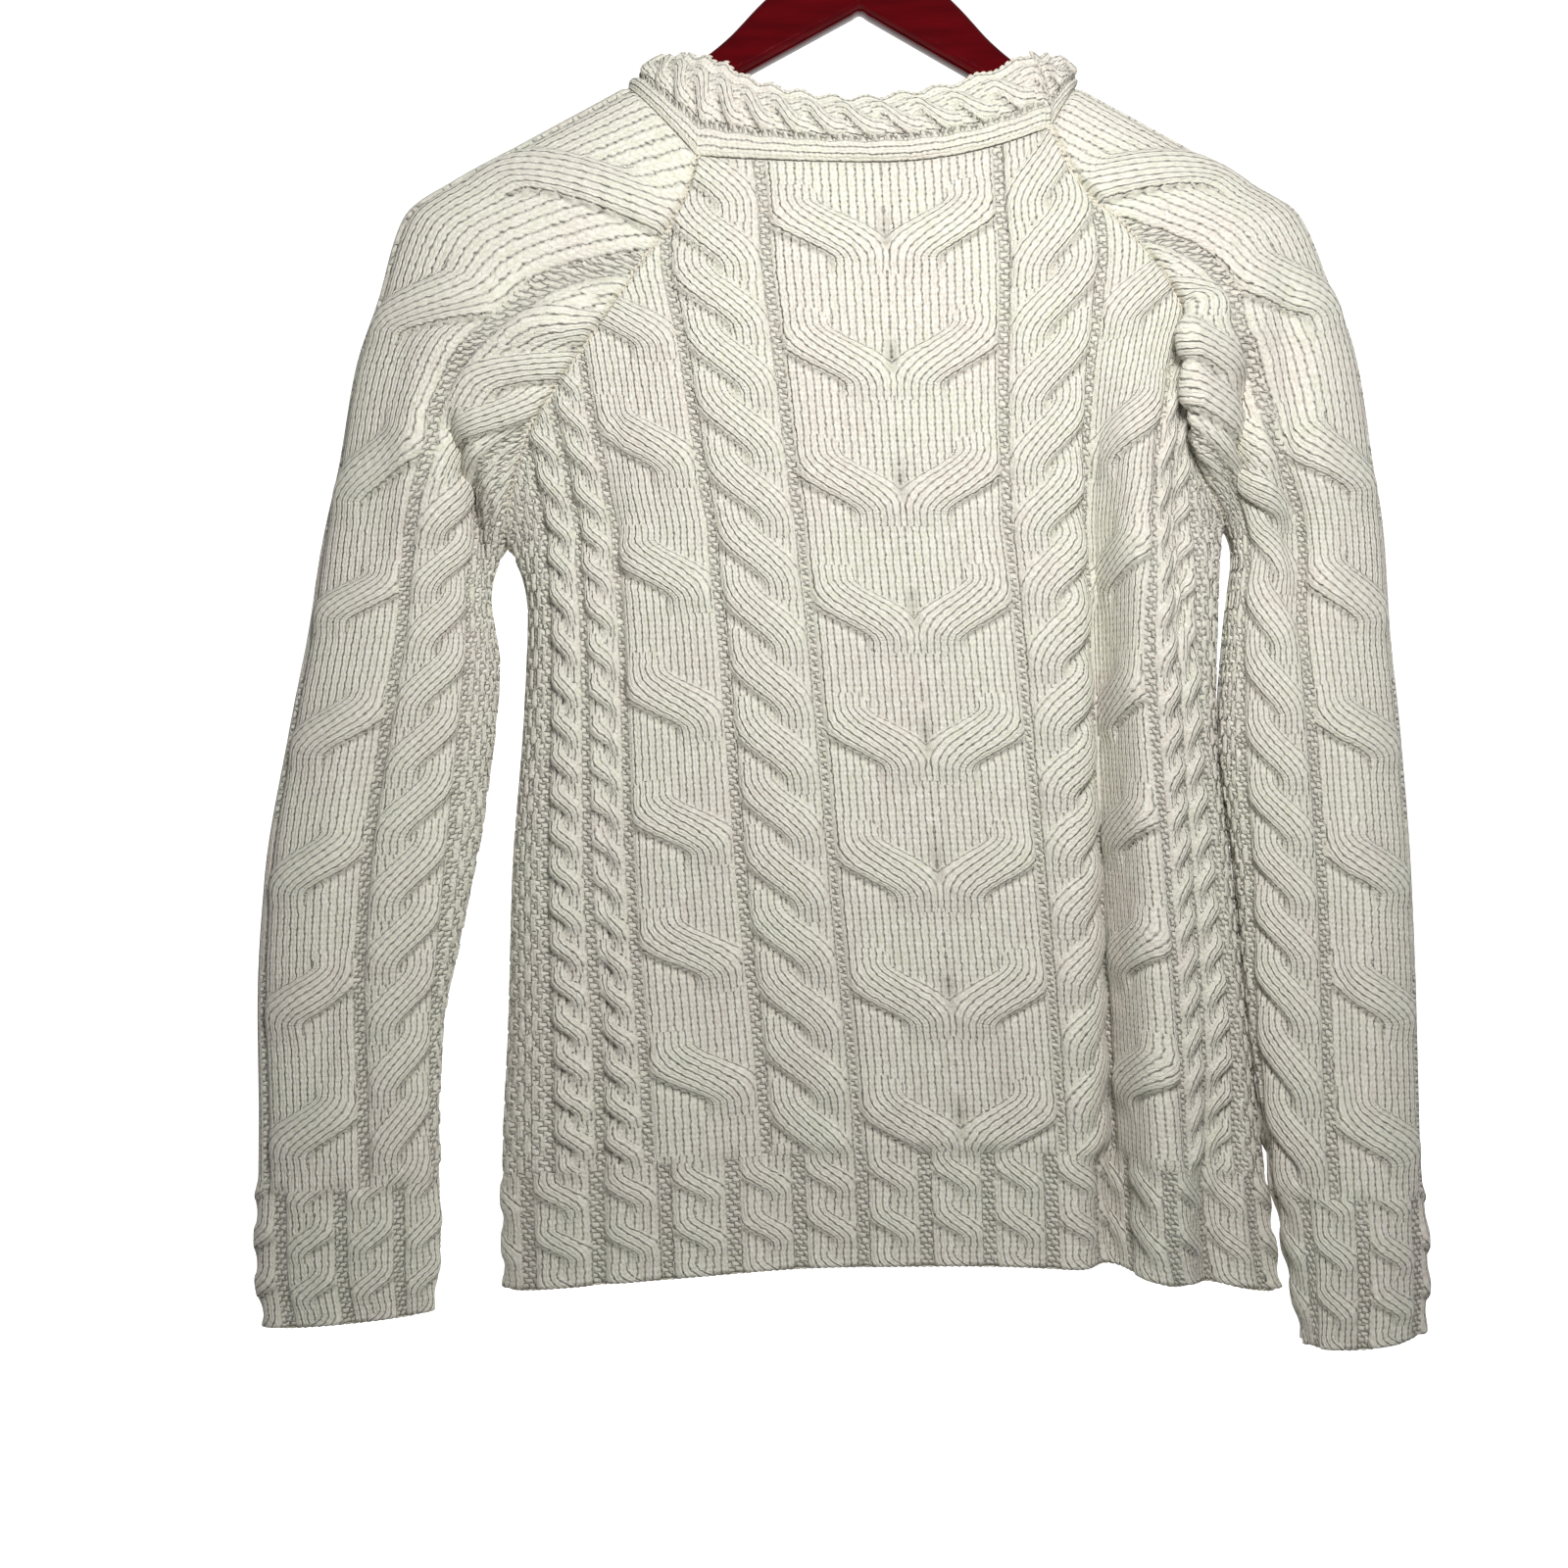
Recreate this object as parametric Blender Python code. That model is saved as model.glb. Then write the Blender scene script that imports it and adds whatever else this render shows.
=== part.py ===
"""Aran raglan sweater hanging on a wooden hanger, seen from its back along +Y.

Sizes in the tables are millimetres. The origin is the inside top of the hook, +Z is up,
the back of the sweater faces -Y and its chest faces +Y.
"""
import math

import bmesh
import bpy
import numpy as np

MM = 0.001

# Cloth
WALL = 3.0              # plain cloth between the cables
SEAM_GAP = 0.34         # between two sewn pieces
CABLE_RISE = 3.8        # of a strand that runs straight
CROSSING_RISE = 2.4     # more, where one strand passes over the other
UNDER_DIP = 0.75        # share of its height that the strand below loses there
CROSSING_SHARE = 0.56   # of the pitch, in which the strands change sides
STRAND_HALF = 0.27      # of the rope's width
RIB_SHARE = 0.8         # height of the rib's ropes, against the panels'
MOSS_RISE = 1.2
PLAIN_RISE = 0.8
STRIP_RISE = 1.5        # the neckband's plain strip
EDGE_FADE = 7.0         # the relief dies out this near a seam

# Rows of knitting, counted in millimetres of cloth up from the hem or the cuff
HEM_BAND = 56.0
UNDERARM_ROW = 354.0
NECK_ROW = 539.0
CUFF_BAND = 68.0
SLEEVE_UNDERARM_ROW = 385.0
SLEEVE_NECK_ROW = 591.0
HEM_Z = -732.0
FRONT_NECK_DROP = 43.0
BODY_HALF_CHART = 225.0
SLEEVE_HALF_CHART = 135.0
UNDERARM_BLEND = (24.0, 36.0)   # rows before the underarm and in all, from tube to sewn panel
FRONT_SEAM_DEPTH = 1.08         # of the raglan seam in front, against the back

# Cable rib of the hem band and the cuffs
RIB_PITCH = 31.0
RIB_ROPE = 25.0
RIB_CROSSING_PITCH = 24.0
RIB_FIRST_CROSSING = 21.0

# Columns of the body chart from the centre out:
# kind, width, pitch of the crossings, row of the first crossing (left half, right half)
BODY_CHART = (
    ("rope", 47.0, 61.9, 70.0, 70.0),
    ("ladder", 7.0, 0, 0, 0),
    ("rope", 38.0, 30.9, 68.0, 60.0),
    ("ladder", 6.0, 0, 0, 0),
    ("rope", 49.0, 60.0, 98.0, 99.0),
    ("ladder", 4.0, 0, 0, 0),
    ("rope", 18.0, 18.0, 66.0, 66.0),
    ("ladder", 4.0, 0, 0, 0),
    ("rope", 18.0, 18.0, 72.0, 72.0),
    ("ladder", 4.0, 0, 0, 0),
    ("moss", 30.0, 0, 0, 0),
)

# Columns of the sleeve chart from the top of the arm to the underarm
SLEEVE_CHART = (
    ("plain", 10.0, 0, 0, 0),
    ("ladder", 3.0, 0, 0, 0),
    ("rope", 47.0, 64.5, 98.0, 92.0),
    ("ladder", 5.0, 0, 0, 0),
    ("rope", 36.0, 31.0, 96.0, 88.0),
    ("ladder", 4.0, 0, 0, 0),
    ("moss", 30.0, 0, 0, 0),
)

# Centre line of the body: row, x, depth of the back, depth of the front, stretch across
BODY_CENTRE = (
    (0, 50, 34, 37, 0.98),
    (58, 47.8, 36, 38, 0.98),
    (183, 36.9, 37, 39, 1.0),
    (304, 25.9, 36, 38, 1.0),
    (363, 19.7, 34, 36, 1.02),
    (428, 14.9, 33, 34, 1.08),
    (491, 11.5, 30, 32, 1.16),
    (539, 9, 24, 28, 1.18),
)

# Edge of the back on the wearer's left: side seam up to the underarm, then raglan seam
LEFT_EDGE = (
    (0, -177, 0, -750),
    (60, -178, 0, -690),
    (130, -175, 0, -617),
    (200, -173, 0, -545),
    (280, -167, 0, -462),
    (325, -165, 0, -408),
    (343, -170, 0, -388),
    (354, -178, 0, -378),
    (361, -177.5, -8, -374),
    (369, -176, -15, -364),
    (382, -171, -21, -346),
    (406, -160, -29, -321),
    (445, -135, -33, -284),
    (482, -111, -31, -249),
    (519, -88, -26, -213),
    (539, -81, -22, -189.5),
)

# The same edge on the wearer's right
RIGHT_EDGE = (
    (0, 209, 0, -750),
    (60, 200, 0, -690),
    (130, 190, 0, -617),
    (200, 181, 0, -545),
    (280, 174, 0, -462),
    (325, 174.5, 0, -402),
    (343, 177, 0, -381),
    (354, 184, 0, -369),
    (361, 182, -8, -365),
    (369, 176, -15, -357),
    (380, 167, -20, -343),
    (395, 161, -24, -325),
    (415, 161, -26, -301),
    (439, 159, -28, -273),
    (461, 148, -30, -250),
    (486, 129, -31, -228),
    (514, 106, -27, -203),
    (539, 93, -22, -175),
)

# How many millimetres of the chart are left to each side of the centre, by row
BODY_CHART_WIDTH = (
    (0, 225), (354, 225), (379, 210), (406, 184), (445, 146), (482, 110), (519, 87), (539, 76),
)
SLEEVE_CHART_WIDTH = (
    (0, 108), (120, 112), (250, 124), (350, 135), (385, 135), (440, 104), (500, 76), (550, 56), (591, 40),
)

# Outer fold of each sleeve, from the cuff over the shoulder to the neckband: row, x, y, z
LEFT_FOLD = (
    (0, -297, -18, -765),
    (30, -303, -18, -737),
    (97, -302, -16, -668),
    (160, -303, -14, -606),
    (222, -300, -12, -545),
    (290, -289, -8, -473),
    (350, -277, -4, -412),
    (385, -271, 0, -385),
    (422, -261, 0, -341),
    (456, -252, 0, -290),
    (487, -241, 0, -256),
    (512, -228, 0, -214),
    (530, -203, 0, -196),
    (551, -171, 0, -178.5),
    (575, -138, 0, -160.5),
    (591, -117, 0, -149),
)
RIGHT_FOLD = (
    (0, 279, -24, -764),
    (30, 284, -24, -737),
    (97, 279, -20, -668),
    (160, 278, -16, -606),
    (222, 277, -12, -545),
    (290, 272, -8, -473),
    (350, 266, -4, -412),
    (385, 263, 0, -376),
    (422, 257, 0, -340),
    (456, 248, 0, -285),
    (487, 234, 0, -247),
    (512, 219, 0, -213),
    (530, 200, 0, -200.5),
    (551, 168, 0, -182.5),
    (575, 130, 0, -161.5),
    (591, 108, 0, -149.5),
)

# Inner edge of each sleeve below the underarm, at its own seam: row, x, y, z
LEFT_INNER = (
    (0, -213, -16, -758),
    (40, -209, -16, -722),
    (97, -211, -14, -663),
    (135, -210, -12, -625),
    (190, -200, -10, -570),
    (250, -189, -7, -508),
    (320, -183, -3, -440),
    (360, -188, 0, -403),
    (374, -186, 0, -391),
    (385, -178, 0, -378),
)
RIGHT_INNER = (
    (0, 219, -24, -772),
    (40, 210, -24, -728),
    (97, 203, -20, -668),
    (150, 196, -16, -606),
    (215, 192, -12, -545),
    (290, 183, -10, -474),
    (330, 189, -6, -430),
    (358, 193, -2, -398),
    (374, 191, 0, -379),
    (385, 184, 0, -369),
)

# Fullness of each sleeve half between fold and seam: row, back left, back right, front
SLEEVE_FULLNESS = (
    (0, 15, 26, 18),
    (97, 19, 27, 21),
    (222, 25, 27, 24),
    (350, 27, 26, 26),
    (385, 27, 25, 26),
    (440, 23, 22, 23),
    (500, 19, 19, 19),
    (551, 15.5, 15.5, 15.5),
    (591, 12.5, 12.5, 12.5),
)

# Folds as lines in the X-Z plane: x and z at the upper end, x and z at the lower end,
# half width, push out of the cloth, push along +X
BACK_FOLDS = (
    (118, -350, 126, -780, 11.0, -27.0, 0.0),
    (135, -330, 147, -780, 17.0, 13.0, 0.0),
    (171, -650, 171, -800, 11.0, -8.0, 0.0),
    (150, -345, 154, -430, 7.0, -10.0, 0.0),
    (-60, -560, -20, -790, 34.0, -3.5, 0.0),
    (-118, -330, -128, -760, 6.0, -3.0, 0.0),
)
FRONT_FOLDS = (
    (-96, -420, -112, -790, 15.0, -13.0, 0.0),
    (-62, -430, -70, -790, 22.0, 7.0, 0.0),
    (92, -360, 118, -780, 17.0, -16.0, 0.0),
    (30, -520, 26, -800, 30.0, 5.0, 0.0),
)
LEFT_SLEEVE_FOLDS = (
    (-202, -322, -186, -392, 7.0, -13.0, 0.0),
    (-214, -300, -222, -400, 10.0, 5.0, 0.0),
    (-216, -290, -140, -268, 10.0, 5.0, 0.0),
    (-236, -470, -262, -640, 9.0, -3.0, 0.0),
)
RIGHT_SLEEVE_FOLDS = (
    (166, -270, 164, -345, 16.0, 17.0, -17.0),
    (206, -262, 214, -420, 9.0, -6.0, 0.0),
    (226, -470, 236, -660, 9.0, -3.0, 0.0),
)

# Upper edge of the neckband: place round the neck, x, y, z. The place is 0 at the band's own
# seam on the right back raglan, 1 on the right shoulder, 3 front centre, 5 left shoulder,
# 7 back centre and 8 at the seam again.
BAND_TOP = (
    (0, 86, -14, -135.5),
    (0.5, 94, -9, -134),
    (1, 97, 0, -133.5),
    (1.5, 94, 9, -136.5),
    (2, 86, 16, -143),
    (2.5, 52, 22, -171),
    (3, 5, 26, -195),
    (3.5, -44, 22, -173),
    (4, -76, 16, -143),
    (4.5, -87.5, 9, -134.5),
    (5, -91, 0, -131),
    (5.5, -86, -9, -133.5),
    (6, -70, -15, -139.5),
    (6.35, -52, -17, -150),
    (7, -4, -18, -158.5),
    (7.5, 38, -17, -153),
    (8, 86, -14, -135.5),
)
BAND_WIDTH = 37.0
BAND_ROPE = (13.0, 32.0)
BAND_CROSSING_PITCH = 18.0
BAND_ROWS = (0, 6, 12, 17.5, 22.5, 28, 37)
BAND_BULGE = 3.0
NECK_CENTRE = (7.0, 1.0, -170.0)

# Hanger: a flat wooden wishbone and its wire hook
WOOD_THICK = 13.0
WOOD_CHAMFER = 3.0
NOTCH_Z = -110.0
ARM_SLOPE = 29.3
HANGER_TILT = 0.9
SEAT_GAP = 0.9

# Right half of the wood: upper x, upper z and lower x, then only x where cloth lies on it, then
# each arm's stretch and the steps of its round tip: how far on, half height
BOSS_SECTIONS = (
    (0, -60, 0),
    (9, -60, 4),
    (13.5, -63.5, 8),
    (22, -75, 14),
    (36, -92.5, 25),
    (52, -108.5, 40),
    (66, -123.5, 55),
    (78, -133.5, 68),
    (91, -142.0, 81),
    (105, -152.5, 97),
)
ARM_SECTIONS = (115, 140, 168, 194, 208)
ARM_LENGTHS = (1.02, 1.005)
ARM_TIP = ((5.0, 7.2), (9.0, 4.8), (11.0, 1.8))

WIRE = 3.8
HOOK_INNER = 19.0
FLANGE = 9.0
HOOK_SIDES = 10
HOOK_STEM = ((2.2, -44.8), (6.6, -40.4))
HOOK_ARC = (-58.0, 186.0, 16)   # degrees from and to, points

# Mesh stations: columns of the charts, rows of the trunk and of the sleeve's tube, shares of the
# yoke, and which of the yoke's rows the inside of the wall keeps
BODY_COLUMNS = (0, 15, 30, 43, 50.5, 58, 73, 88, 95, 102, 115, 130, 143, 149, 160, 171, 182, 193, 209, 225)
SLEEVE_COLUMNS = (0, 4.5, 10, 13.5, 22, 34, 46, 57, 62.5, 70, 83, 96, 103, 111, 119, 127, 135)
BODY_ROWS = 24
SLEEVE_ROWS = 24
INNER_STEP = 4
YOKE_STATIONS = (0, 0.07, 0.16, 0.26, 0.36, 0.46, 0.54, 0.61, 0.68, 0.76, 0.84, 0.92, 1)
YOKE_INNER = (1, 3, 5, 6, 7, 8, 10, 12)

# Chart ranges where deep folds need every column on the inside too
CLOSE_COLUMNS = {
    "back": ((60, 190),),
    "front": ((-190, -100), (30, 110)),
    "sleeve_left": ((-136, -90), (-14, 14), (120, 136)),
    "sleeve_right": ((-136, -80), (-14, 14)),
}


def smooth_table(table, at):
    """Monotone cubic through a table's rows: its first column is the parameter."""
    table = np.asarray(table, float)
    at = np.atleast_1d(np.asarray(at, float))
    knots, values = table[:, 0], table[:, 1:]
    gap = np.diff(knots)[:, None]
    slope = np.diff(values, axis=0) / gap
    tangent = np.zeros_like(values)
    same_way = slope[:-1] * slope[1:] > 0
    mean = 2.0 / (1.0 / np.where(same_way, slope[:-1], 1.0) + 1.0 / np.where(same_way, slope[1:], 1.0))
    tangent[1:-1] = np.where(same_way, mean, 0.0)
    tangent[0], tangent[-1] = slope[0], slope[-1]
    i = np.clip(np.searchsorted(knots, at, side="right") - 1, 0, len(knots) - 2)
    t = ((at - knots[i]) / (knots[i + 1] - knots[i]))[:, None]
    span = gap[i]
    return ((2 * t**3 - 3 * t**2 + 1) * values[i] + (t**3 - 2 * t**2 + t) * span * tangent[i]
            + (3 * t**2 - 2 * t**3) * values[i + 1] + (t**3 - t**2) * span * tangent[i + 1])


def ease(t):
    """Smooth step from 0 to 1."""
    t = np.clip(t, 0.0, 1.0)
    return t * t * (3.0 - 2.0 * t)


def unit(vectors):
    """Vectors at length one."""
    return vectors / np.maximum(np.linalg.norm(vectors, axis=-1, keepdims=True), 1e-9)


def strand_profile(distance):
    """Round-shouldered top of a strand, from its centre line at 0 to its side at 1."""
    return np.sqrt(np.clip(1.0 - np.abs(distance)**3.2, 0.0, 1.0))


def rope_relief(across, row, pitch, first):
    """Height of a two-strand rope: across runs 0 to 1 from its inner to its outer side."""
    phase = (row - first) / pitch
    phase = phase - np.round(phase)
    t = ease(phase / CROSSING_SHARE + 0.5)
    over_centre = 0.25 + 0.5 * t
    under_centre = 0.75 - 0.5 * t
    lift = np.sin(math.pi * t)
    over = (CABLE_RISE + CROSSING_RISE * lift) * strand_profile((across - over_centre) / STRAND_HALF)
    under = CABLE_RISE * (1.0 - UNDER_DIP * lift) * strand_profile((across - under_centre) / STRAND_HALF)
    return np.maximum(over, under)


def chart_relief(chart, band, w, row):
    """Height of the knitting at w millimetres from the chart's centre, signed, and a row."""
    height = np.zeros(np.broadcast(w, row).shape)
    distance = np.abs(w)
    start = 0.0
    for kind, width, pitch, first_left, first_right in chart:
        inside = (distance >= start) & (distance < start + width)
        if kind == "rope":
            first = np.where(w < 0, first_left, first_right)
            relief = rope_relief((distance - start) / width, row, pitch, first)
            height = np.where(inside, relief, height)
        elif kind == "moss":
            height = np.where(inside, MOSS_RISE, height)
        elif kind == "plain":
            height = np.where(inside, PLAIN_RISE, height)
        start += width
    across = np.mod(w + RIB_PITCH / 2, RIB_PITCH) / RIB_ROPE
    rib = np.where(across < 1.0, rope_relief(1.0 - across, row, RIB_CROSSING_PITCH, RIB_FIRST_CROSSING), 0.0)
    return np.where(row < band, RIB_SHARE * rib, height)


def softened(relief, w, row, half_w, half_row):
    """Mean of a relief over a small patch, so that wide mesh cells carry it evenly."""
    total = 0.0
    steps = (-0.66, 0.0, 0.66)
    for a in steps:
        for b in steps:
            total = total + relief(w + a * half_w, row + b * half_row)
    return total / len(steps)**2


def apply_folds(points, folds, side, fade):
    """Push points along their side's Y, and along X, near each fold's line."""
    moved = points.copy()
    for x0, z0, x1, z1, half_width, push, push_x in folds:
        along = np.array([x1 - x0, z1 - z0], float)
        length = np.linalg.norm(along)
        along /= length
        dx, dz = points[..., 0] - x0, points[..., 2] - z0
        t = (dx * along[0] + dz * along[1]) / length
        off = dx * along[1] - dz * along[0]
        ends = ease(t / 0.35 + 0.5) * ease((1.0 - t) / 0.35 + 0.5)
        amount = np.exp(-(off / half_width)**2) * ends * fade
        moved[..., 1] += side * push * amount
        moved[..., 0] += push_x * amount
    return moved


def spread(line, w, chart_width, stretch):
    """Points along a dense line at the chart distances w, its start being the chart's centre."""
    lengths = np.concatenate([[0.0], np.cumsum(np.linalg.norm(np.diff(line, axis=0), axis=1))])
    total = lengths[-1]
    q = w / chart_width
    keep = np.clip(stretch * chart_width / total, 0.55, 1.35)
    at = total * (keep * q + (1.0 - keep) * q**3)
    return np.stack([np.interp(at, lengths, line[:, k]) for k in range(3)], axis=1)


DENSE = (1.0 - np.cos(np.linspace(0.0, math.pi, 161))) / 2.0


def body_half(row, w, edge_table, side, folds):
    """One row of the front or back from the centre to one edge; side is -1 on the back."""
    centre_x, back_depth, front_depth, stretch = smooth_table(BODY_CENTRE, row)[0]
    depth = back_depth if side < 0 else front_depth
    edge = smooth_table(edge_table, row)[0]
    edge_y = edge[1] if side < 0 else -FRONT_SEAM_DEPTH * edge[1]
    centre_z = HEM_Z + row
    tube = 1.0 - ease((row - UNDERARM_ROW + UNDERARM_BLEND[0]) / UNDERARM_BLEND[1])
    rounding = tube * (1.0 - DENSE**3.0)**(1.0 / 3.0) + (1.0 - tube) * (1.0 - DENSE**3.0)
    x = centre_x + (edge[0] - centre_x) * DENSE
    y = edge_y + (side * depth - edge_y) * rounding
    z = centre_z + (edge[2] - centre_z) * DENSE**2
    line = np.stack([x, y, z], axis=1)
    fade = ease((1.0 - DENSE) * 9.0)
    line = apply_folds(line, folds, side, fade)
    width = smooth_table(BODY_CHART_WIDTH, row)[0, 0]
    return spread(line, w * width / BODY_HALF_CHART, width, stretch)


def sleeve_half(row, w, hand, side):
    """One row of a sleeve from its outer fold to its seam; hand is -1 on the wearer's left."""
    fold_table, inner_table, edge_table, folds = SLEEVE_SIDES[hand]
    fold = smooth_table(fold_table, row)[0]
    cap = (row - SLEEVE_UNDERARM_ROW) / (SLEEVE_NECK_ROW - SLEEVE_UNDERARM_ROW)
    if cap <= 0:
        inner = smooth_table(inner_table, row)[0]
    else:
        inner = smooth_table(edge_table, UNDERARM_ROW + cap * (NECK_ROW - UNDERARM_ROW))[0]
    inner_y = inner[1] if side < 0 or cap <= 0 else -FRONT_SEAM_DEPTH * inner[1]
    full = smooth_table(SLEEVE_FULLNESS, row)[0]
    fullness = (full[0] if hand < 0 else full[1]) if side < 0 else full[2]
    tube = 1.0 - ease((row - SLEEVE_UNDERARM_ROW + UNDERARM_BLEND[0]) / UNDERARM_BLEND[1])
    power = 2.6 + 0.9 * ease(cap * 2.5)
    rounding = (1.0 - (1.0 - DENSE)**power)**(1.0 / power)
    closed = (1.0 - DENSE**2.4)**(1.0 / 2.4)
    sewn = 1.0 - DENSE**2
    bulge = fullness * rounding * (tube * closed + (1.0 - tube) * sewn)
    x = fold[0] + (inner[0] - fold[0]) * DENSE
    y = fold[1] + (inner_y - fold[1]) * DENSE + side * bulge
    z = fold[2] + (inner[2] - fold[2]) * DENSE
    line = np.stack([x, y, z], axis=1)
    if side < 0:
        fade = ease((1.0 - DENSE) * 7.0) * ease(DENSE * 9.0)
        line = apply_folds(line, folds, side, fade)
    width = smooth_table(SLEEVE_CHART_WIDTH, row)[0, 0]
    return spread(line, w * width / SLEEVE_HALF_CHART, width, 1.0)


SLEEVE_SIDES = {
    -1: (LEFT_FOLD, LEFT_INNER, LEFT_EDGE, LEFT_SLEEVE_FOLDS),
    1: (RIGHT_FOLD, RIGHT_INNER, RIGHT_EDGE, RIGHT_SLEEVE_FOLDS),
}


def body_grid(side, columns, rows):
    """Base surface of the front or back, and its chart places: arrays of rows by columns."""
    half = np.asarray(columns, float)
    signed = np.concatenate([-half[:0:-1], half])
    folds = BACK_FOLDS if side < 0 else FRONT_FOLDS
    grid, chart_w, chart_row = [], [], []
    for row in rows:
        yoke = max(0.0, (row - UNDERARM_ROW) / (NECK_ROW - UNDERARM_ROW))
        drop = FRONT_NECK_DROP * yoke if side > 0 else 0.0
        scoop = drop * (1.0 - (signed / BODY_HALF_CHART)**2)
        width = smooth_table(BODY_CHART_WIDTH, row)[0, 0]
        left = body_half(row, half, LEFT_EDGE, side, folds)
        right = body_half(row, half, RIGHT_EDGE, side, folds)
        points = np.concatenate([left[:0:-1], right])
        points[:, 2] -= scoop
        grid.append(points)
        chart_w.append(signed * width / BODY_HALF_CHART)
        chart_row.append(row - scoop)
    return np.array(grid), np.array(chart_w), np.array(chart_row)


def sleeve_grid(hand, columns, rows):
    """Base surface of a sleeve from its back seam over the outer fold to its front seam."""
    half = np.asarray(columns, float)
    signed = np.concatenate([-half[:0:-1], half])
    grid, chart_w, chart_row = [], [], []
    for row in rows:
        back = sleeve_half(row, half, hand, -1)
        front = sleeve_half(row, half, hand, 1)
        grid.append(np.concatenate([back[:0:-1], front]))
        width = smooth_table(SLEEVE_CHART_WIDTH, row)[0, 0]
        chart_w.append(signed * width / SLEEVE_HALF_CHART)
        chart_row.append(np.full(len(signed), row))
    return np.array(grid), np.array(chart_w), np.array(chart_row)


def grid_normals(grid, outward):
    """Unit normals of a grid, on the side that outward points to."""
    up = np.gradient(grid, axis=0)
    across = np.gradient(grid, axis=1)
    normals = unit(np.cross(across, up))
    return normals * (1.0 if np.sum(normals * outward) > 0 else -1.0)


def share_normals(grids, normals):
    """Give points that pieces share one mean normal, so that their walls meet squarely."""
    groups = {}
    for name, grid in grids.items():
        rows, columns = grid.shape[:2]
        for i in range(rows):
            for j in range(columns):
                if i in (0, rows - 1) or j in (0, columns - 1):
                    groups.setdefault(tuple(np.round(grid[i, j], 3)), []).append((name, i, j))
    for members in groups.values():
        shared = unit(sum(normals[name][i, j] for name, i, j in members))
        if len(members) == 4 and all(grids[name][i, j][1] == 0 for name, i, j in members):
            shared = np.array([0.0, 0.0, -1.0])
        for name, i, j in members:
            normals[name][i, j] = shared


def inset_edges(grid, sides, top, bottom):
    """Draw a piece back from its seams by half the gap."""
    moved = grid.copy()
    if sides:
        moved[:, 0] += unit(grid[:, 1] - grid[:, 0]) * SEAM_GAP / 2
        moved[:, -1] += unit(grid[:, -2] - grid[:, -1]) * SEAM_GAP / 2
    if top:
        moved[-1] += unit(grid[-2] - grid[-1]) * SEAM_GAP / 2
    if bottom:
        moved[0] += unit(grid[1] - grid[0]) * SEAM_GAP / 2
    return moved


def edge_fade(grid, top, bottom):
    """How much relief each point keeps: none at a seam, all of it further in."""
    rows, columns = grid.shape[:2]
    step = np.linalg.norm(np.diff(grid, axis=1), axis=2)
    from_left = np.concatenate([np.zeros((rows, 1)), np.cumsum(step, axis=1)], axis=1)
    from_right = from_left[:, -1:] - from_left
    rise = np.linalg.norm(np.diff(grid, axis=0), axis=2)
    from_bottom = np.concatenate([np.zeros((1, columns)), np.cumsum(rise, axis=0)], axis=0)
    from_top = from_bottom[-1:] - from_bottom
    fade = ease(from_left / EDGE_FADE) * ease(from_right / EDGE_FADE)
    if top:
        fade = fade * ease(from_top / EDGE_FADE)
    if bottom:
        fade = fade * ease(from_bottom / EDGE_FADE)
    return fade


def thinned(count, step):
    """Every step-th index, with the first and the last."""
    picked = list(range(0, count - 1, step))
    if count - 1 - picked[-1] < step / 2 and len(picked) > 1:
        picked.pop()
    return picked + [count - 1]


def kept_columns(signed, ranges):
    """Every second column, and every one inside the given chart ranges."""
    every_second = set(thinned(len(signed), 2))
    kept = []
    for j, w in enumerate(signed):
        if j in every_second or any(low <= w <= high for low, high in ranges):
            kept.append(j)
    return kept


def fan_strip(faces, fine, coarse, coarse_at):
    """Close the rim between a fine edge and a coarse one that keeps some of its stations."""
    for k in range(len(coarse) - 1):
        low, high = coarse_at[k], coarse_at[k + 1]
        middle = (low + high + 1) // 2
        for i in range(low, high):
            pivot = coarse[k] if i < middle else coarse[k + 1]
            faces.append((fine[i], fine[i + 1], pivot))
        faces.append((coarse[k], fine[middle], coarse[k + 1]))


def make_object(name, points, faces, material):
    """A mesh object from millimetre points, with its normals outward."""
    mesh = bpy.data.meshes.new(name)
    mesh.from_pydata([tuple(float(c) * MM for c in p) for p in points], [], faces)
    work = bmesh.new()
    work.from_mesh(mesh)
    bmesh.ops.recalc_face_normals(work, faces=work.faces)
    if work.calc_volume(signed=True) < 0:
        bmesh.ops.reverse_faces(work, faces=work.faces)
    work.to_mesh(mesh)
    work.free()
    mesh.materials.append(material)
    made = bpy.data.objects.new(name, mesh)
    bpy.context.scene.collection.objects.link(made)
    return made


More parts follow.
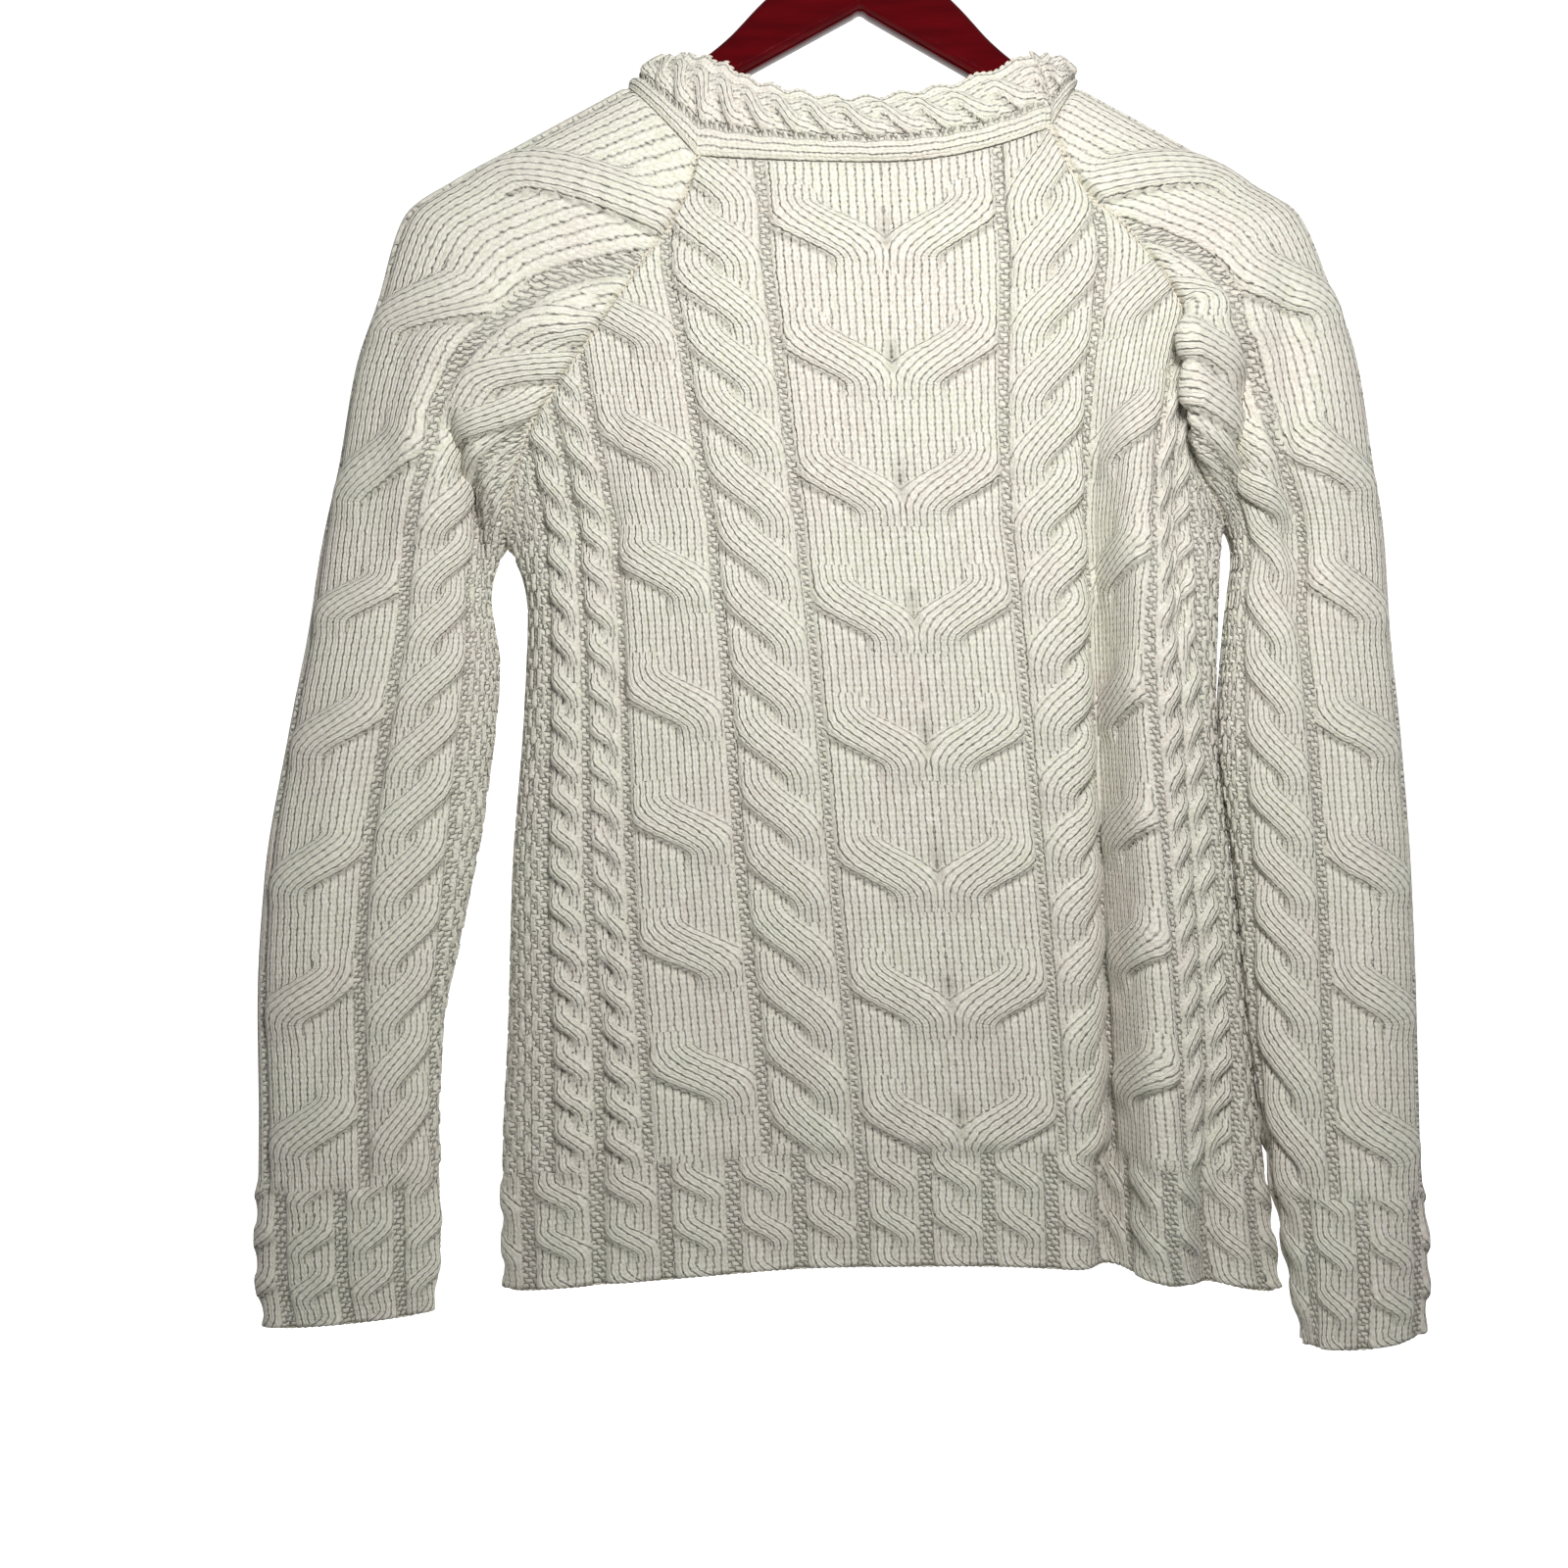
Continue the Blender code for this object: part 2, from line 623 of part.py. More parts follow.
def cloth_sheet(name, outer, inner, keep_rows, keep_columns, slant, material):
    """Closed wall from a fine outer grid and a plain inner grid on fewer of its stations."""
    rows, columns = outer.shape[:2]
    points = list(outer.reshape(-1, 3))
    number = np.arange(rows * columns).reshape(rows, columns)
    within = {}
    for i in keep_rows:
        for j in keep_columns:
            within[i, j] = len(points)
            points.append(inner[i, j])
    faces = []
    for i in range(rows - 1):
        for j in range(columns - 1):
            a, b = number[i, j], number[i, j + 1]
            c, d = number[i + 1, j + 1], number[i + 1, j]
            faces += [(a, b, c), (a, c, d)] if slant[j] > 0 else [(a, b, d), (b, c, d)]
    for low, high in zip(keep_rows, keep_rows[1:]):
        for left, right in zip(keep_columns, keep_columns[1:]):
            a, b = within[low, left], within[low, right]
            c, d = within[high, right], within[high, left]
            faces += [(a, c, b), (a, d, c)]
    last_row, last_column = keep_rows[-1], keep_columns[-1]
    fan_strip(faces, number[0], [within[0, j] for j in keep_columns], keep_columns)
    fan_strip(faces, number[-1], [within[last_row, j] for j in keep_columns], keep_columns)
    fan_strip(faces, number[:, 0], [within[i, 0] for i in keep_rows], keep_rows)
    fan_strip(faces, number[:, -1], [within[i, last_column] for i in keep_rows], keep_rows)
    faces = [tuple(int(v) for v in face) for face in faces]
    return make_object(name, points, faces, material)


def rings(name, sections, material):
    """Closed solid through equal rings of points, capped at both ends."""
    points = [p for section in sections for p in section]
    sides = len(sections[0])
    faces = []
    for k in range(len(sections) - 1):
        for i in range(sides):
            a, b = k * sides + i, k * sides + (i + 1) % sides
            faces.append((a, b, b + sides, a + sides))
    faces.append(tuple(range(sides)))
    faces.append(tuple(range(len(points) - sides, len(points))))
    return make_object(name, points, faces, material)


def finish(name, colour, roughness, coat=0.0, metallic=0.0):
    """A plain Principled material."""
    material = bpy.data.materials.new(name)
    material.use_nodes = True
    shader = material.node_tree.nodes["Principled BSDF"]
    shader.inputs["Base Color"].default_value = (*colour, 1.0)
    shader.inputs["Roughness"].default_value = roughness
    shader.inputs["Metallic"].default_value = metallic
    shader.inputs["Coat Weight"].default_value = coat
    return material


def neck_ring(grids):
    """The panels' upper edges as one ring from the right back raglan, with places round it."""
    ring, places = [], []
    order = (("sleeve_right", 1, 0.0), ("front", -1, 2.0), ("sleeve_left", -1, 4.0), ("back", 1, 6.0))
    for name, direction, start in order:
        edge = grids[name][-1][::direction]
        middle = (len(edge) - 1) // 2
        length = np.concatenate([[0.0], np.cumsum(np.linalg.norm(np.diff(edge, axis=0), axis=1))])
        first = length / length[middle]
        second = 1.0 + (length - length[middle]) / (length[-1] - length[middle])
        place = start + np.where(np.arange(len(edge)) <= middle, first, second)
        keep = slice(0, len(edge) if name == "back" else len(edge) - 1)
        ring.append(edge[keep])
        places.append(place[keep])
    return np.concatenate(ring), np.concatenate(places)


def band_grid(grids):
    """Base surface of the neckband: rows up from the panels' edges, columns round the neck."""
    lower, places = neck_ring(grids)
    upper = smooth_table(BAND_TOP, places)
    flat = np.array([1.0, 1.0, 0.0])
    outward = unit(((lower + upper) / 2 - np.array(NECK_CENTRE)) * flat)
    grid = []
    for v in np.array(BAND_ROWS) / BAND_WIDTH:
        grid.append(lower + (upper - lower) * v + outward * BAND_BULGE * math.sin(math.pi * v))
    length = np.concatenate([[0.0], np.cumsum(np.linalg.norm(np.diff(lower, axis=0), axis=1))])
    return np.array(grid), length


def band_relief(v, along):
    """Height of the band's knitting: a plain strip, a groove, a rope and a thin edge."""
    low, high = BAND_ROPE
    rope = rope_relief((v - low) / (high - low), along, BAND_CROSSING_PITCH, BAND_CROSSING_PITCH / 2)
    rope = np.where((v > low) & (v < high), rope, 0.0)
    strip = np.where(v < low - 2.0, STRIP_RISE, 0.0)
    return np.maximum(rope, strip)


def sweater(wool):
    """The four panels and the neckband."""
    trunk = np.linspace(0.0, UNDERARM_ROW, BODY_ROWS + 1)
    yoke = UNDERARM_ROW + (NECK_ROW - UNDERARM_ROW) * np.array(YOKE_STATIONS[1:])
    tube = np.linspace(0.0, SLEEVE_UNDERARM_ROW, SLEEVE_ROWS + 1)
    cap = SLEEVE_UNDERARM_ROW + (SLEEVE_NECK_ROW - SLEEVE_UNDERARM_ROW) * np.array(YOKE_STATIONS[1:])
    body_rows = np.concatenate([trunk, yoke])
    sleeve_rows = np.concatenate([tube, cap])

    grids, chart_w, chart_row = {}, {}, {}
    for name, side in (("back", -1), ("front", 1)):
        grids[name], chart_w[name], chart_row[name] = body_grid(side, BODY_COLUMNS, body_rows)
    for name, hand in (("sleeve_left", -1), ("sleeve_right", 1)):
        grids[name], chart_w[name], chart_row[name] = sleeve_grid(hand, SLEEVE_COLUMNS, sleeve_rows)
    grids["neckband"], band_along = band_grid(grids)

    normals = {}
    for name, grid in grids.items():
        if name in ("back", "front"):
            outward = np.array([0.0, -1.0 if name == "back" else 1.0, 0.0])
        elif name == "neckband":
            outward = grid - np.array(NECK_CENTRE)
        else:
            outward = grid - grid.mean(axis=1, keepdims=True)
        normals[name] = grid_normals(grid, outward)
    share_normals(grids, normals)

    for name in ("back", "front", "sleeve_left", "sleeve_right"):
        sleeve = name.startswith("sleeve")
        chart, band = (SLEEVE_CHART, CUFF_BAND) if sleeve else (BODY_CHART, HEM_BAND)
        relief = softened(lambda w, row: chart_relief(chart, band, w, row),
                          chart_w[name], chart_row[name], 1.5, 4.0)
        relief *= edge_fade(grids[name], True, False)
        grid = inset_edges(grids[name], True, True, False)
        outer = grid + normals[name] * relief[..., None]
        inner = grid - normals[name] * WALL
        crotch = SLEEVE_ROWS if sleeve else BODY_ROWS
        keep_rows = thinned(crotch + 1, INNER_STEP) + [crotch - 2, crotch - 1]
        keep_rows = sorted(keep_rows + [crotch + k for k in YOKE_INNER])
        half = np.array(SLEEVE_COLUMNS if sleeve else BODY_COLUMNS, float)
        signed = np.concatenate([-half[:0:-1], half])
        slant = np.where(signed[:-1] < -1.0, 1, -1)
        cloth_sheet(name, outer, inner, keep_rows, kept_columns(signed, CLOSE_COLUMNS[name]), slant, wool)

    v = np.array(BAND_ROWS, float)[:, None]
    relief = softened(lambda w, row: band_relief(w, row), v, band_along[None, :], 2.0, 2.0)
    relief *= edge_fade(grids["neckband"], False, True)
    grid = inset_edges(grids["neckband"], True, False, True)
    columns = grid.shape[1]
    keep = [0]
    for name, direction in (("sleeve_right", 1), ("front", -1), ("sleeve_left", -1), ("back", 1)):
        half = np.array(SLEEVE_COLUMNS if name.startswith("sleeve") else BODY_COLUMNS, float)
        signed = np.concatenate([-half[:0:-1], half])
        kept = kept_columns(signed, CLOSE_COLUMNS[name])
        kept = [len(signed) - 1 - j for j in kept[::-1]] if direction < 0 else kept
        keep += [keep[-1] + j for j in kept[1:]]
    cloth_sheet("neckband", grid + normals["neckband"] * relief[..., None],
                grid - normals["neckband"] * WALL, thinned(len(BAND_ROWS), 2), keep,
                np.ones(columns), wool)


def shoulder_line(hand, x):
    """Height of the sleeve's outer fold over a place on the arm, and its slope there."""
    table = np.array(LEFT_FOLD if hand < 0 else RIGHT_FOLD, float)
    cap = SLEEVE_NECK_ROW - SLEEVE_UNDERARM_ROW
    rows = SLEEVE_UNDERARM_ROW + cap * np.array([YOKE_STATIONS[k] for k in YOKE_INNER[2:]])
    line = smooth_table(table, rows)
    order = np.argsort(np.abs(line[:, 0]))
    across, height = np.abs(line[order, 0]), line[order, 2]
    slope = (np.interp(x + 3, across, height) - np.interp(x + 1, across, height)) / 2
    return np.interp(x, across, height), slope


def wood_section(upper, lower):
    """Chamfered rectangle between an upper and a lower point of the outline."""
    down = unit(lower - upper) * min(WOOD_CHAMFER, 0.4 * np.linalg.norm(lower - upper))
    half, flat = WOOD_THICK / 2, WOOD_THICK / 2 - WOOD_CHAMFER
    places = ((upper, flat), (upper + down, half), (lower - down, half), (lower, flat))
    front = [np.array([p[0], y, p[1]]) for p, y in places]
    back = [np.array([p[0], -y, p[1]]) for p, y in places[::-1]]
    return front + back


def hanger(wood):
    """Wishbone: a boss over a notch and two arms that carry the sleeves' shoulders."""
    lean = math.tan(math.radians(HANGER_TILT))
    slope = math.tan(math.radians(ARM_SLOPE))

    def lower_edge(hand, x):
        return np.array([hand * x, NOTCH_Z - x * slope - hand * x * lean])

    sections = []
    for hand in (-1, 1):
        half = []
        for x, z, low_x in BOSS_SECTIONS:
            half.append((np.array([hand * x, z - hand * x * lean]), lower_edge(hand, low_x)))
        for station in ARM_SECTIONS:
            x = station * ARM_LENGTHS[0 if hand < 0 else 1]
            height, steep = shoulder_line(hand, x)
            top = height - (WALL + SEAT_GAP) * math.hypot(1.0, steep)
            half.append((np.array([hand * x, top]), lower_edge(hand, x - 8.0)))
        middle = (half[-1][0] + half[-1][1]) / 2
        onward = unit(half[-1][1] - half[-2][1])
        upward = np.array([-hand * onward[1], hand * onward[0]])
        for step, height in ARM_TIP:
            end = middle + onward * step
            half.append((end + upward * height, end - upward * height))
        sections.append(half)
    chain = sections[0][:0:-1] + sections[1]
    rings("hanger", [wood_section(upper, lower) for upper, lower in chain], wood)


def hook(steel):
    """Wire: a flange on the wood, a straight stem and an open loop that ends on the left."""
    radius = HOOK_INNER + WIRE / 2
    top = BOSS_SECTIONS[0][1]
    path = [(0.0, top + 0.3, FLANGE / 2), (0.0, top + 1.8, FLANGE / 2), (0.0, top + 2.4, WIRE / 2)]
    path += [(0.0, top + 6.0, WIRE / 2), (0.2, top + 11.0, WIRE / 2)]
    for x, z in HOOK_STEM:
        path.append((x, z, WIRE / 2))
    for angle in np.linspace(*HOOK_ARC):
        turn = math.radians(angle)
        path.append((radius * math.cos(turn), -HOOK_INNER + radius * math.sin(turn), WIRE / 2))
    path.append((path[-1][0] + 0.12, path[-1][1] - 1.2, WIRE / 2 * 0.6))
    centre = np.array([(x, 0.0, z) for x, z, _ in path])
    along = unit(np.gradient(centre, axis=0))
    along[:4] = (0.0, 0.0, 1.0)
    sections = []
    for point, direction, (_, _, size) in zip(centre, along, path):
        side = np.array([0.0, 1.0, 0.0])
        across = np.cross(direction, side)
        ring = []
        for k in range(HOOK_SIDES):
            turn = 2 * math.pi * k / HOOK_SIDES
            ring.append(point + size * (math.cos(turn) * side + math.sin(turn) * across))
        sections.append(ring)
    rings("hook", sections, steel)


def clear_scene():
    """Remove what the scene starts with."""
    for old in list(bpy.data.objects):
        bpy.data.objects.remove(old, do_unlink=True)


clear_scene()
sweater(finish("wool", (0.74, 0.70, 0.61), 0.9))
hanger(finish("lacquered_wood", (0.07, 0.003, 0.004), 0.25, coat=0.6))
hook(finish("steel", (0.55, 0.56, 0.57), 0.3, metallic=1.0))
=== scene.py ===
import math

import bmesh
import bpy
import numpy as np
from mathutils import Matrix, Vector


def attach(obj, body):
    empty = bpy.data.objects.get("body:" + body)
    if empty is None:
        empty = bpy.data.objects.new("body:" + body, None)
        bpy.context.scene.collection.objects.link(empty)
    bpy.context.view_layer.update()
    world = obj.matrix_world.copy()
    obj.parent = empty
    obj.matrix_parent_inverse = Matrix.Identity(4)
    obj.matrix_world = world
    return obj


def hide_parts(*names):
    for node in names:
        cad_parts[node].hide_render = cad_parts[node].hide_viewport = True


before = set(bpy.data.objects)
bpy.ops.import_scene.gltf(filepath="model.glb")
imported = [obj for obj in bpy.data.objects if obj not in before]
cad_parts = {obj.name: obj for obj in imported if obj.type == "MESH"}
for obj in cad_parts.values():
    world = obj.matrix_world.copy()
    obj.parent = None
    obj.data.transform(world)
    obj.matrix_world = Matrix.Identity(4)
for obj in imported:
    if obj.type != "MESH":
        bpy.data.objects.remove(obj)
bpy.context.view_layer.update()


# BACK
# Knitted from the hem up in cream aran wool: a horseshoe cable in the middle, ropes of three
# widths to each side, textured panels down the sides, and raglan edges that lean to the neck.
# Sizes in every table are millimetres; rows of knitting are counted in millimetres of cloth.
MM = 0.001
CLOTH = 2.6
INNER_STEP = 3
STITCH_WIDE = 3.6
STITCH_HIGH = 2.75
HEM_BAND = 56.0
UNDERARM_ROW = 354.0
NECK_ROW = 539.0
HEM_Z = -732.0
BODY_HALF_CHART = 225.0
PANEL_RISE = 2.7
BAND_RISE = 3.0
WIDE_STRAND = 0.265
NARROW_STRAND = 0.27
STRAND_FROM = 0.2
STRAND_TRAVEL = 0.6
STRAND_WALE = 3.3
SMALL_ROPE = 30.0
BAND_BLEND = 12.0
RIB_SHARE = 0.62
RIB_PITCH = 31.0
RIB_ROPE = 25.0
PLAIN_RISE = 1.2
MOSS_RISE = (1.9, 0.7)
MOSS_BLOCK_ROWS = 3.0
STRAND_SHOWS = 0.15

# Width of a rib's rope, pitch of its crossings, row of the first one, share of the pitch it takes
RIB_MEASURES = (RIB_ROPE, 24.0, 21.0, 0.7)

# The round body opens into the flat yoke from YOKE_FROM below the underarm, over YOKE_ROWS. The
# front's raglan seam lies a little further out from the middle plane than the back's
YOKE_FROM = 24.0
YOKE_ROWS = 36.0
FRONT_SEAM = 1.08
BODY_ROUND = 3.0
FOLD_FADE = 9.0
STRETCH_LIMITS = (0.55, 1.35)
SETTLE_STEPS = 120
SETTLE_REACH = 9.0
RELIEF_REACH = 3.0

# Loops are pulled open a little everywhere, and more above this row, over so many rows
STRETCH_ROW = 430.0
STRETCH_ROWS = 90.0

# Points from the middle of the piece to its edge, and rows of points
BACK_GRID = (144, 290)

# kind, width, pitch of the crossings, row of the first one on the left and on the right, and the
# share of the pitch that a crossing takes
BODY_CHART = (
    ("horseshoe", 48.3, 61.9, 70.0, 70.0, 0.5),
    ("ladder", 4.4, 1, 0, 0, 1),
    ("rope", 40.1, 30.9, 68.0, 60.0, 1.1),
    ("ladder", 4.2, 1, 0, 0, 1),
    ("rope", 50.0, 60.0, 98.0, 99.0, 0.5),
    ("ladder", 4.0, 1, 0, 0, 1),
    ("rope", 18.0, 18.0, 66.0, 66.0, 0.8),
    ("ladder", 4.0, 1, 0, 0, 1),
    ("rope", 18.0, 18.0, 72.0, 72.0, 0.8),
    ("ladder", 4.0, 1, 0, 0, 1),
    ("moss", 30.0, 1, 0, 0, 1),
)

# row, x of the centre line, depth of the back, depth of the front, stretch across
BODY_CENTRE = (
    (0, 50, 34, 37, 0.98),
    (58, 47.8, 36, 38, 0.98),
    (183, 36.9, 37, 39, 1.0),
    (304, 25.9, 36, 38, 1.0),
    (363, 19.7, 34, 36, 1.02),
    (428, 14.9, 33, 34, 1.08),
    (491, 11.5, 30, 32, 1.16),
    (539, 9, 24, 28, 1.18),
)

# row, x, y, z of the back's edges: side seam up to the underarm, then raglan seam
LEFT_EDGE = (
    (0, -177, 0, -750),
    (60, -178, 0, -690),
    (130, -175, 0, -617),
    (200, -173, 0, -545),
    (280, -167, 0, -462),
    (325, -165, 0, -408),
    (343, -170, 0, -388),
    (354, -178, 0, -378),
    (361, -177.5, -8, -374),
    (369, -176, -15, -364),
    (382, -171, -21, -346),
    (406, -160, -29, -321),
    (445, -135, -33, -284),
    (482, -111, -31, -249),
    (519, -88, -26, -213),
    (539, -81, -22, -189.5),
)
RIGHT_EDGE = (
    (0, 209, 0, -750),
    (60, 201, 0, -690),
    (130, 193.5, 0, -617),
    (200, 185, 0, -545),
    (280, 177, 0, -462),
    (325, 178.5, 0, -402),
    (343, 179.5, 0, -381),
    (354, 184, 0, -369),
    (361, 182, -8, -365),
    (369, 176, -15, -357),
    (380, 167, -20, -343),
    (395, 161, -24, -325),
    (415, 161, -26, -301),
    (439, 159, -28, -273),
    (461, 148, -30, -250),
    (486, 129, -31, -228),
    (514, 106, -27, -203),
    (539, 93, -22, -175),
)
BODY_CHART_WIDTH = (
    (0, 225), (354, 225), (379, 210), (406, 184), (445, 146), (482, 110), (519, 87), (539, 76),
)

# x and z at a fold's upper end, x and z at its lower end, half width, push outward, push along X
BACK_FOLDS = (
    (118, -350, 126, -780, 11.0, -27.0, 0.0),
    (135, -330, 147, -780, 17.0, 17.0, 0.0),
    (171, -650, 171, -800, 11.0, -8.0, 0.0),
    (150, -345, 154, -430, 7.0, -10.0, 0.0),
    (-60, -560, -20, -790, 34.0, -3.5, 0.0),
    (-118, -330, -128, -760, 6.0, -3.0, 0.0),
)
DENSE = (1.0 - np.cos(np.linspace(0.0, math.pi, 261))) / 2.0


def smooth_table(table, at):
    """Monotone cubic through a table's rows: its first column is the parameter."""
    table = np.asarray(table, float)
    at = np.atleast_1d(np.asarray(at, float))
    knots, values = table[:, 0], table[:, 1:]
    gap = np.diff(knots)[:, None]
    slope = np.diff(values, axis=0) / gap
    tangent = np.zeros_like(values)
    same_way = slope[:-1] * slope[1:] > 0
    below, above = (np.where(same_way, side, 1.0) for side in (slope[:-1], slope[1:]))
    mean = 2.0 / (1.0 / below + 1.0 / above)
    tangent[1:-1] = np.where(same_way, mean, 0.0)
    tangent[0], tangent[-1] = slope[0], slope[-1]
    i = np.clip(np.searchsorted(knots, at, side="right") - 1, 0, len(knots) - 2)
    t = ((at - knots[i]) / (knots[i + 1] - knots[i]))[:, None]
    span = gap[i]
    return ((2 * t**3 - 3 * t**2 + 1) * values[i] + (t**3 - 2 * t**2 + t) * span * tangent[i]
            + (3 * t**2 - 2 * t**3) * values[i + 1] + (t**3 - t**2) * span * tangent[i + 1])


def ease(t):
    """Smooth step from 0 to 1."""
    t = np.clip(t, 0.0, 1.0)
    return t * t * (3.0 - 2.0 * t)


def unit(vectors):
    """Vectors at length one."""
    return vectors / np.maximum(np.linalg.norm(vectors, axis=-1, keepdims=True), 1e-9)


def fold_cloth(points, folds, side, fade):
    """Push points along their side's Y, and along X, near each fold's line."""
    moved = points.copy()
    for x0, z0, x1, z1, half_width, push, push_x in folds:
        along = np.array([x1 - x0, z1 - z0], float)
        length = np.linalg.norm(along)
        along /= length
        dx, dz = points[..., 0] - x0, points[..., 2] - z0
        t = (dx * along[0] + dz * along[1]) / length
        off = dx * along[1] - dz * along[0]
        ends = ease(t / 0.35 + 0.5) * ease((1.0 - t) / 0.35 + 0.5)
        amount = np.exp(-(off / half_width)**2) * ends * fade
        moved[..., 1] += side * push * amount
        moved[..., 0] += push_x * amount
    return moved


def lengths_along(points, axis=0):
    """How far each point lies from the first, along a line or along the lines of a grid."""
    steps = np.linalg.norm(np.diff(points, axis=axis), axis=-1)
    return np.insert(np.cumsum(steps, axis=axis), 0, 0.0, axis=axis)


def points_at(at, lengths, line):
    """Points at the distances at, on a line whose own points lie at lengths."""
    return np.stack([np.interp(at, lengths, line[:, k]) for k in range(3)], axis=1)


def both_sides(left, right):
    """One row from edge to edge, out of halves that start at the middle."""
    return np.concatenate([left[:0:-1], right])


def lay_stitches(line, w, chart_width, stretch):
    """Points at the chart distances w along a section line that starts at the chart's centre."""
    lengths = lengths_along(line)
    q = w / chart_width
    keep = np.clip(stretch * chart_width / lengths[-1], *STRETCH_LIMITS)
    return points_at(lengths[-1] * (keep * q + (1.0 - keep) * q**3), lengths, line)


def body_half(row, w, edge_table, side, folds):
    """One row of the front or back from the centre to one edge; side is -1 on the back."""
    centre_x, back_depth, front_depth, stretch = smooth_table(BODY_CENTRE, row)[0]
    depth = back_depth if side < 0 else front_depth
    edge_x, edge_y, edge_z = smooth_table(edge_table, row)[0]
    if side > 0:
        edge_y *= -FRONT_SEAM
    tube = 1.0 - ease((row - UNDERARM_ROW + YOKE_FROM) / YOKE_ROWS)
    falling = 1.0 - DENSE**BODY_ROUND
    rounding = tube * falling**(1.0 / BODY_ROUND) + (1.0 - tube) * falling
    x = centre_x + (edge_x - centre_x) * DENSE
    y = edge_y + (side * depth - edge_y) * rounding
    z = HEM_Z + row + (edge_z - HEM_Z - row) * DENSE**2
    line = np.stack([x, y, z], axis=1)
    line = fold_cloth(line, folds, side, ease((1.0 - DENSE) * FOLD_FADE))
    width = smooth_table(BODY_CHART_WIDTH, row)[0, 0]
    return lay_stitches(line, w * width / BODY_HALF_CHART, width, stretch)


def body_row(row, half, side, folds, neck_drop):
    """One row of the front or back from edge to edge, and how far the neckline lowers it."""
    left, right = (body_half(row, half, edge, side, folds) for edge in (LEFT_EDGE, RIGHT_EDGE))
    points = both_sides(left, right)
    yoke = max(0.0, (row - UNDERARM_ROW) / (NECK_ROW - UNDERARM_ROW))
    scoop = neck_drop * yoke * (1.0 - (both_sides(-half, half) / BODY_HALF_CHART)**2)
    points[:, 2] -= scoop
    return points, scoop


def plain_piece(make_row, half_chart, width_table, top_row, columns, rows):
    """Plain surface of a piece from its cast-on up, with each point's place in the chart."""
    half = np.linspace(0.0, half_chart, columns // coarser)
    grid, chart_w, chart_row = [], [], []
    for row in np.linspace(0.0, top_row, rows // coarser):
        points, lowered = make_row(row, half)
        width = smooth_table(width_table, row)[0, 0]
        grid.append(points)
        chart_w.append(both_sides(-half, half) * width / half_chart)
        chart_row.append(np.full(len(points), row) - lowered)
    return np.array(grid), np.array(chart_w), np.array(chart_row)


def plain_body(side, folds, neck_drop, columns, rows):
    """Plain surface of the back or front."""
    return plain_piece(lambda row, half: body_row(row, half, side, folds, neck_drop),
                       BODY_HALF_CHART, BODY_CHART_WIDTH, NECK_ROW, columns, rows)


def crossing_strand(across, row, rope, crossing):
    """The strand that passes over: off its middle in half widths, its lean, rise and half width."""
    width, pitch, first, turn = rope[:4]
    phase = ((row - first) / pitch - crossing) / turn + 0.5
    held = np.clip(phase, 0.0, 1.0)
    middle = STRAND_FROM + STRAND_TRAVEL * ease(held)
    lean = STRAND_TRAVEL * 6.0 * held * (1.0 - held) * width / (turn * pitch)
    half = np.where(width < SMALL_ROPE, NARROW_STRAND, WIDE_STRAND) * np.sqrt(1.0 + lean**2)
    stand = ease((phase + 0.35) / 0.6) * ease((1.4 - phase) / 0.7)
    return (across - middle) / half, lean, stand, half


def rope_surface(across, row, rope):
    """Height of a cable, the shade painted into its creases, whether a strand lies on top, and at
    which crossing.
    """
    width, pitch, first, turn, mirrored = rope
    size = np.where(width < SMALL_ROPE, 0.62 + 0.38 * width / SMALL_ROPE, 1.0)
    outward = 2.0 * across - 1.0
    from_middle = np.where(mirrored, np.maximum(outward, 0.0), np.abs(outward))
    rounded = np.sqrt(np.clip(1.0 - from_middle**8, 0.0, 1.0))
    panel = PANEL_RISE * rounded
    nearest = np.round((row - first) / pitch)
    band, crease_shade, on_top = np.zeros_like(across), np.zeros_like(across), nearest
    for crossing in (nearest - 1, nearest + 1, nearest):
        off, lean, stand, half = crossing_strand(across, row, rope, crossing)
        away = np.abs(off)
        ahead, trailing = (np.clip(1.0 - away**power, 0.0, 1.0) for power in (5, 3))
        crown = np.where(off > 0, ahead**0.5, trailing**0.8)
        # The cloth dips beside the strand, and a line of painted shade follows each of its sides
        beside = np.exp(-((off - 1.12) / 0.2)**2)
        above = np.exp(-((off + 1.08) / 0.22)**2)
        panel = panel * (1.0 - stand * (0.5 * beside + 0.1 * above))
        line = 1.5 * np.sqrt(1.0 + lean**2) / np.maximum(width * half, 1.5)
        under = np.exp(-((off - 1.0 - 0.4 * line) / line)**2)
        under = under + 0.14 * np.exp(-((off + 1.04) / line)**2)
        rise = stand * crown * rounded
        left = crease_shade * (1.0 - np.minimum(rise * 2.0, 1.0))
        crease_shade = np.maximum(left, stand * np.minimum(under, 1.0))
        on_top = np.where(rise > np.maximum(band, STRAND_SHOWS), crossing, on_top)
        band = np.maximum(band, rise)
    # Where the two halves of a horseshoe part, the middle sinks to a notch, and shade is painted
    # into it
    phase = ((row - first) / pitch - nearest) / turn + 0.5
    notch_wide = 1.2 + 3.0 * np.clip(phase, 0.0, 1.0)
    notch = np.exp(-(across * width / notch_wide)**2) * ease((phase - 0.1) / 0.2)
    notch = np.where(mirrored, notch * ease((1.0 - phase) / 0.5), 0.0)
    height = size * (panel * (1.0 - 0.7 * notch) + BAND_RISE * band)
    return height, np.maximum(crease_shade, 0.75 * notch), band > STRAND_SHOWS, on_top


